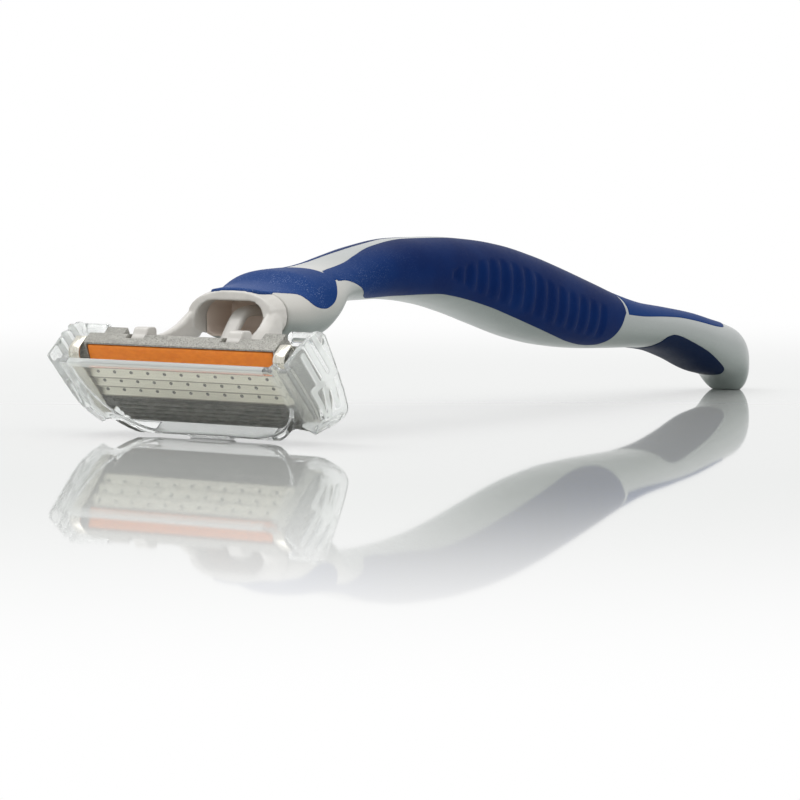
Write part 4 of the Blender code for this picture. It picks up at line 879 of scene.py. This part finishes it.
# Guard: a base with a row of rounded fins
guard = {
    "length": 31.0 * mm, "top": 5.1 * mm, "bottom": 8.85 * mm, "bed": 1.0 * mm, "base": 0.28 * mm,
    "corner": 2.4 * mm, "fins": 5, "crest": 0.05 * mm, "share": 0.62, "finDrawn": 0.35 * mm,
    "finFoot": 0.1 * mm, "finSteps": ((0.55, 0.10 * mm), (0.3, 0.02 * mm)),   # half width, and drop there
    "colour": paint(92, 92, 84), "light": paint(132, 131, 121), "streak": 0.4 * mm,
    "rough": (0.45, 0.15, 0.5 * mm, 2.0), "bumps": (0.12 * mm, 2.0, 0.008 * mm),
}
guardFinish, s, shader = newFinish("guardRubber")
place = s.place()
streaks = s.noise(s.stretched(place, (0.3, 1.0, 1.0)), guard["streak"], 3.0)
finishOff(s, shader, place, s.colour(streaks.ease(0.35, 0.7), guard["colour"], guard["light"]), guard)


def cornered(mesh, drawn=0.0):
    # draws the ends in where the guard's lower corners are round
    half, corner = guard["length"] / 2.0 - drawn, guard["corner"]
    for point in mesh.vertices:
        below = min(max(guard["corner"] - guard["bottom"] - point.co.y, 0.0), corner)
        limit = half - corner + math.sqrt(corner ** 2 - below ** 2)
        point.co.x = max(-limit, min(limit, point.co.x))
    return mesh


def ridgeMesh(name, outline, half, soften):
    # a bar along X with the given outline of (up, out), drawn in a little at both ends
    stations = ((-half, soften), (-half + soften, 0.0), (half - soften, 0.0), (half, soften))
    middle = (sum(p[0] for p in outline) / len(outline), sum(p[1] for p in outline) / len(outline))
    points = []
    for x, shrink in stations:
        for y, n in outline:
            size = 1.0 - shrink / (abs(outline[0][0] - middle[0]) + abs(outline[0][1] - middle[1]) + shrink)
            points.append((x, middle[0] + (y - middle[0]) * size, middle[1] + (n - middle[1]) * size))
    count = len(outline)
    faces = gridFaces(4, count, closed=True) + [tuple(range(count)), tuple(range(3 * count, 4 * count))]
    return meshFrom(name, points, faces)


pitch = (guard["bottom"] - guard["top"]) / guard["fins"]
finHalf = pitch * guard["share"] / 2.0
finSide = [(1.0, -guard["base"] - guard["finFoot"]), (1.0, -guard["base"])]
finSide += [(share, guard["crest"] - drop) for share, drop in guard["finSteps"]]
finOutline = [(-finHalf * share, n) for share, n in finSide] + [(0.0, guard["crest"])]
finOutline += [(finHalf * share, n) for share, n in reversed(finSide)]
fin = ridgeMesh("fin", finOutline, guard["length"] / 2.0, 0.12 * mm)
finRow = runTree(repeat, fin, guardFinish, {
    "Count": guard["fins"], "Start": (0.0, -guard["bottom"] + pitch / 2.0, 0.0), "Step": (0.0, pitch, 0.0)})
newPiece("guardFins", layOnFace(cornered(finRow, guard["finDrawn"])), guardFinish, "cartridge",
         sharp=50.0)
baseSteps = [-guard["bottom"] + guard["corner"] * (1.0 - math.cos(quarter * i / 8.0)) for i in range(9)]
baseOutline = [(y, -guard["bed"]) for y in reversed(baseSteps)] + [(y, -guard["base"]) for y in baseSteps]
baseOutline += [(-guard["top"], -guard["base"]), (-guard["top"], -guard["bed"])]
base = ridgeMesh("guardBase", baseOutline, guard["length"] / 2.0, 0.0)
newPiece("guardBase", layOnFace(cornered(base)), guardFinish, "cartridge", ["guard_fins"])
print("housing, strip and guard")

# Blades, their supports and the weld dots
blades = {
    "steel": paint(234, 231, 214), "worn": paint(220, 217, 200), "lines": 0.10 * mm,
    # painted shade: the first colour on this line is a dark line along each blade's ground bevel, which turns
    # away from the light
    "bevelShade": paint(128, 122, 104), "bevel": 0.14 * mm, "bevelShadeShare": 0.8,
    "metallic": {"Metallic": 0.55}, "rough": (0.30, 0.16), "bump": 0.004 * mm,
    "tilt": math.radians(20.5), "firstEdge": 0.85 * mm, "pitch": 1.65 * mm, "width": 1.85 * mm,
    "exposure": 0.05 * mm,
}
dots = {
    "count": 11, "pitch": 2.85 * mm, "radius": 0.29 * mm, "rise": 0.035 * mm,
    "starts": (-14.9 * mm, -14.75 * mm, -15.2 * mm), "share": 0.52,     # of the blade's width
    "sides": 12, "flatness": 0.8,
    "crater": ((1.0, -0.6), (0.97, 0.5), (0.8, 1.0), (0.58, 0.3), (0.3, 0.05)),   # radius and rise
    "dark": paint(92, 90, 82), "rim": paint(168, 166, 156), "blot": 0.12 * mm,
    "metallic": {"Metallic": 0.6}, "rough": (0.38, 0.2, 0.2 * mm, 2.0),
}


def climbed(s, place):
    # height on the blade face above the first row of welds
    return ((s.axis(place, "Y") - head["hinge"].y) * faceUp.y
            + (s.axis(place, "Z") - head["hinge"].z) * faceUp.z + head["hingeUp"])


steelFinish, s, shader = newFinish("bladeSteel", blades["metallic"])
place = s.place()
lines = s.noise(s.stretched(place, (0.04, 1.0, 1.0)), blades["lines"], 3.0)
body = s.colour(lines.ease(0.3, 0.7), blades["worn"], blades["steel"])
strips = (climbed(s, place) + blades["firstEdge"]) / blades["pitch"]
aboveEdge = (strips - strips.work("FLOOR", strips)) * blades["pitch"]
# painted shade along each blade's edge, standing in for the ground bevel's darker look
body = s.colour(aboveEdge.below(blades["bevel"]) * blades["bevelShadeShare"], body, blades["bevelShade"])
least, spread = blades["rough"]
feed(shader, {"Base Color": body, "Roughness": least + lines * spread,
              "Normal": s.bump(lines, blades["bump"])})
dotFinish, s, shader = newFinish("weldDot", dots["metallic"])
place = s.place()
body = s.colour(s.noise(place, dots["blot"], 2.0).ease(0.4, 0.7), dots["dark"], dots["rim"])
feed(shader, {"Base Color": body, "Roughness": uneven(s, place, dots["rough"])})


def dotMesh():
    # a shallow crater: raised rim round a sunk middle
    sides, rings = dots["sides"], dots["crater"]
    cosTilt, sinTilt = math.cos(blades["tilt"]), math.sin(blades["tilt"])
    points = []
    for size, rise in rings:
        for k in range(sides):
            angle = math.tau * k / sides
            x = math.cos(angle) * dots["radius"] * size
            y = math.sin(angle) * dots["radius"] * size * dots["flatness"]
            n = rise * dots["rise"]
            points.append((x, y * cosTilt + n * sinTilt, -y * sinTilt + n * cosTilt))
    faces = gridFaces(len(rings), sides, closed=True)
    faces += [tuple(range(sides)), tuple(range((len(rings) - 1) * sides, len(rings) * sides))]
    return meshFrom("weldDot", points, faces)


for index, word in enumerate(("one", "two", "three")):
    edge = -(blades["firstEdge"] + index * blades["pitch"])
    across = dots["share"] * blades["width"]
    start = (dots["starts"][index], edge + across * math.cos(blades["tilt"]),
             blades["exposure"] - across * math.sin(blades["tilt"]))
    row = runTree(repeat, dotMesh(), dotFinish,
                  {"Count": dots["count"], "Start": start, "Step": (dots["pitch"], 0.0, 0.0)})
    newPiece("weldDots" + word.capitalize(), layOnFace(row), dotFinish, "blade_" + word)
    dress("blade_%d" % (index + 1), steelFinish)
    dress("blade_%d_support" % (index + 1), steelFinish)
print("blades and weld dots")

# Clips
clips = {
    "edge": 0.07 * mm, "colour": paint(222, 220, 210), "dull": paint(196, 192, 180), "lines": 0.08 * mm,
    "metallic": {"Metallic": 1.0}, "rough": (0.16, 0.16), "bump": 0.004 * mm,
}
clipFinish, s, shader = newFinish("clipSteel", clips["metallic"])
place = s.place()
brushed = s.noise(s.stretched(place, (1.0, 0.12, 0.12)), clips["lines"], 3.0)
least, spread = clips["rough"]
feed(shader, {"Base Color": s.colour(brushed.ease(0.35, 0.7), clips["dull"], clips["colour"]),
              "Roughness": least + brushed * spread, "Normal": s.bump(brushed, clips["bump"])})
for word in ("left", "right"):
    newPiece("clip" + word.capitalize(), roundedCopy("clip_" + word, clips["edge"], 40.0), clipFinish,
             "cartridge", ["clip_" + word], 35.0)
print("clips")

# Clear cover: the cover's node as one soft moulding, a clear plate in walls and ribs made cloudier with a
# milky white, a painted glare for their bright edges
cover = {
    "voxel": 0.165 * mm, "smoothing": 8, "clear": {"Transmission Weight": 0.97, "IOR": 1.28},
    "plateHalf": 16.4 * mm, "plateLow": -8.6 * mm, "plateHigh": 2.9 * mm,
    "ribFoot": 20.46 * mm, "ribTop": 20.56 * mm,
    "tint": (0.985, 0.995, 0.99), "film": 5.0 * mm, "filmShade": 0.985,
    "scuff": 0.25 * mm, "scuffLimits": (0.62, 0.78),
    "plateRough": 0.03, "wallRough": 0.16, "scuffRough": 0.1, "bump": 0.02 * mm,
    # painted glare: a milky white mixed into the walls, lip and ribs for the bright glare along them
    "glareHaze": paint(236, 240, 237), "glareHazeRough": 0.3,
    "wallGlareHaze": 0.16, "lipGlareHaze": 0.45, "ribGlareHaze": 0.5,
}
clearFinish, s, shader = newFinish("clearPlastic", cover["clear"])
place = s.place()
film = s.noise(place, cover["film"], 3.0)
scuff = s.noise(s.stretched(place, (0.5, 1.0, 1.0)), cover["scuff"], 4.0, 0.7).ease(*cover["scuffLimits"])
shaded = tuple(part * cover["filmShade"] for part in cover["tint"])
body = s.colour(film.ease(0.3, 0.7), cover["tint"], shaded)
climb = climbed(s, place)
aside = abs(s.axis(place, "X"))
lip = climb.ease(cover["plateHigh"], cover["plateHigh"] + 0.4 * mm) * aside.below(cover["plateHalf"])
wall = aside.ease(cover["plateHalf"], cover["plateHalf"] + 0.8 * mm)
wall = wall.larger(1.0 - climb.ease(cover["plateLow"] - 0.8 * mm, cover["plateLow"]))
ribs = aside.ease(cover["ribFoot"], cover["ribTop"])
feed(shader, {
    "Base Color": body,
    "Roughness": cover["plateRough"] + wall * cover["wallRough"] + scuff * cover["scuffRough"],
    "Normal": s.bump(film + scuff * 0.02, cover["bump"], 0.5)})
# painted glare on the walls, the lip and the ribs: a milky white shader mixed into the clear one
milkyGlare = s.out("ShaderNodeBsdfPrincipled", None,
              {"Base Color": (*cover["glareHaze"], 1.0), "Roughness": cover["glareHazeRough"]})
cloudyGlare = s.out("ShaderNodeMixShader", None, {
    0: wall * cover["wallGlareHaze"] + lip * cover["lipGlareHaze"] + ribs * cover["ribGlareHaze"],
    1: Number(shader.outputs[0]), 2: milkyGlare})
s.tree.links.new(cloudyGlare.socket, s.tree.nodes["Material Output"].inputs["Surface"])
newPiece("bladeCover", headMoulding("blade_cover", cover["voxel"], cover["smoothing"]),
         clearFinish, "cover", ["blade_cover"], 60.0)
print("clear cover")

# Floor, world and lamps
stage = {
    "floor": (0.88, 0.89, 0.88), "seenFloor": (0.58, 0.595, 0.58), "polish": {"Roughness": 0.03, "IOR": 1.3},
    "floorHalf": 6.0, "drop": 0.02 * mm,
    "fadeStart": 0.10, "fadeEnd": 0.28,     # from the middle; beyond it the floor is seen as white
    "skyLight": 0.78,
    "lamps": {                              # place, target, side and power
        "keyLamp": ((-0.35, -0.25, 0.75), (0.0, 0.0, 0.0), 0.6, 2.6),
        "fillLamp": ((0.45, -0.12, 0.65), (0.0, -0.02, 0.01), 0.5, 1.1),
    },
}
white = (1.0, 1.0, 1.0, 1.0)
builder = bmesh.new()
bmesh.ops.create_grid(builder, x_segments=1, y_segments=1, size=stage["floorHalf"])
floorMesh = bpy.data.meshes.new("floor")
builder.to_mesh(floorMesh)
builder.free()
floor = bpy.data.objects.new("floor", floorMesh)
bpy.context.scene.collection.objects.link(floor)
floor.location.z = -stage["drop"]
floor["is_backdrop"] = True
floorFinish, s, shader = newFinish("paleFloor", stage["polish"])
floorMesh.materials.append(floorFinish)
far = s.out("ShaderNodeVectorMath", {"operation": "LENGTH"}, {0: s.place()}, "Value")
seen = s.out("ShaderNodeLightPath", output="Is Camera Ray")
feed(shader, {"Base Color": s.colour(seen, stage["floor"], stage["seenFloor"])})
glow = s.out("ShaderNodeEmission", None, {"Color": white, "Strength": 1.0})
fading = s.out("ShaderNodeMixShader", None, {
    0: seen * far.ease(stage["fadeStart"], stage["fadeEnd"]), 1: Number(shader.outputs[0]), 2: glow})
s.tree.links.new(fading.socket, s.tree.nodes["Material Output"].inputs["Surface"])

world = bpy.data.worlds.new("studio")
bpy.context.scene.world = world
world.use_nodes = True
for old in list(world.node_tree.nodes):
    world.node_tree.nodes.remove(old)
s = Nodes(world.node_tree)
ray = s.node("ShaderNodeLightPath")
direct, glossy, through = (Number(ray.outputs[name])
                           for name in ("Is Camera Ray", "Is Glossy Ray", "Is Transmission Ray"))
shown = direct.larger(glossy.larger(through))
sky = s.out("ShaderNodeBackground", None, {
    "Color": white, "Strength": stage["skyLight"] + shown * (1.0 - stage["skyLight"])})
s.node("ShaderNodeOutputWorld", None, {"Surface": sky})


def lamp(name, place, target, side, power):
    light = bpy.data.lights.new(name, "AREA")
    light.shape, light.size, light.energy = "SQUARE", side, power
    holder = bpy.data.objects.new(name, light)
    bpy.context.scene.collection.objects.link(holder)
    holder.location = place
    holder.rotation_euler = (Vector(target) - Vector(place)).to_track_quat("-Z", "Y").to_euler()


for name, settings in stage["lamps"].items():
    lamp(name, *settings)
print("stage")

low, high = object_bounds()
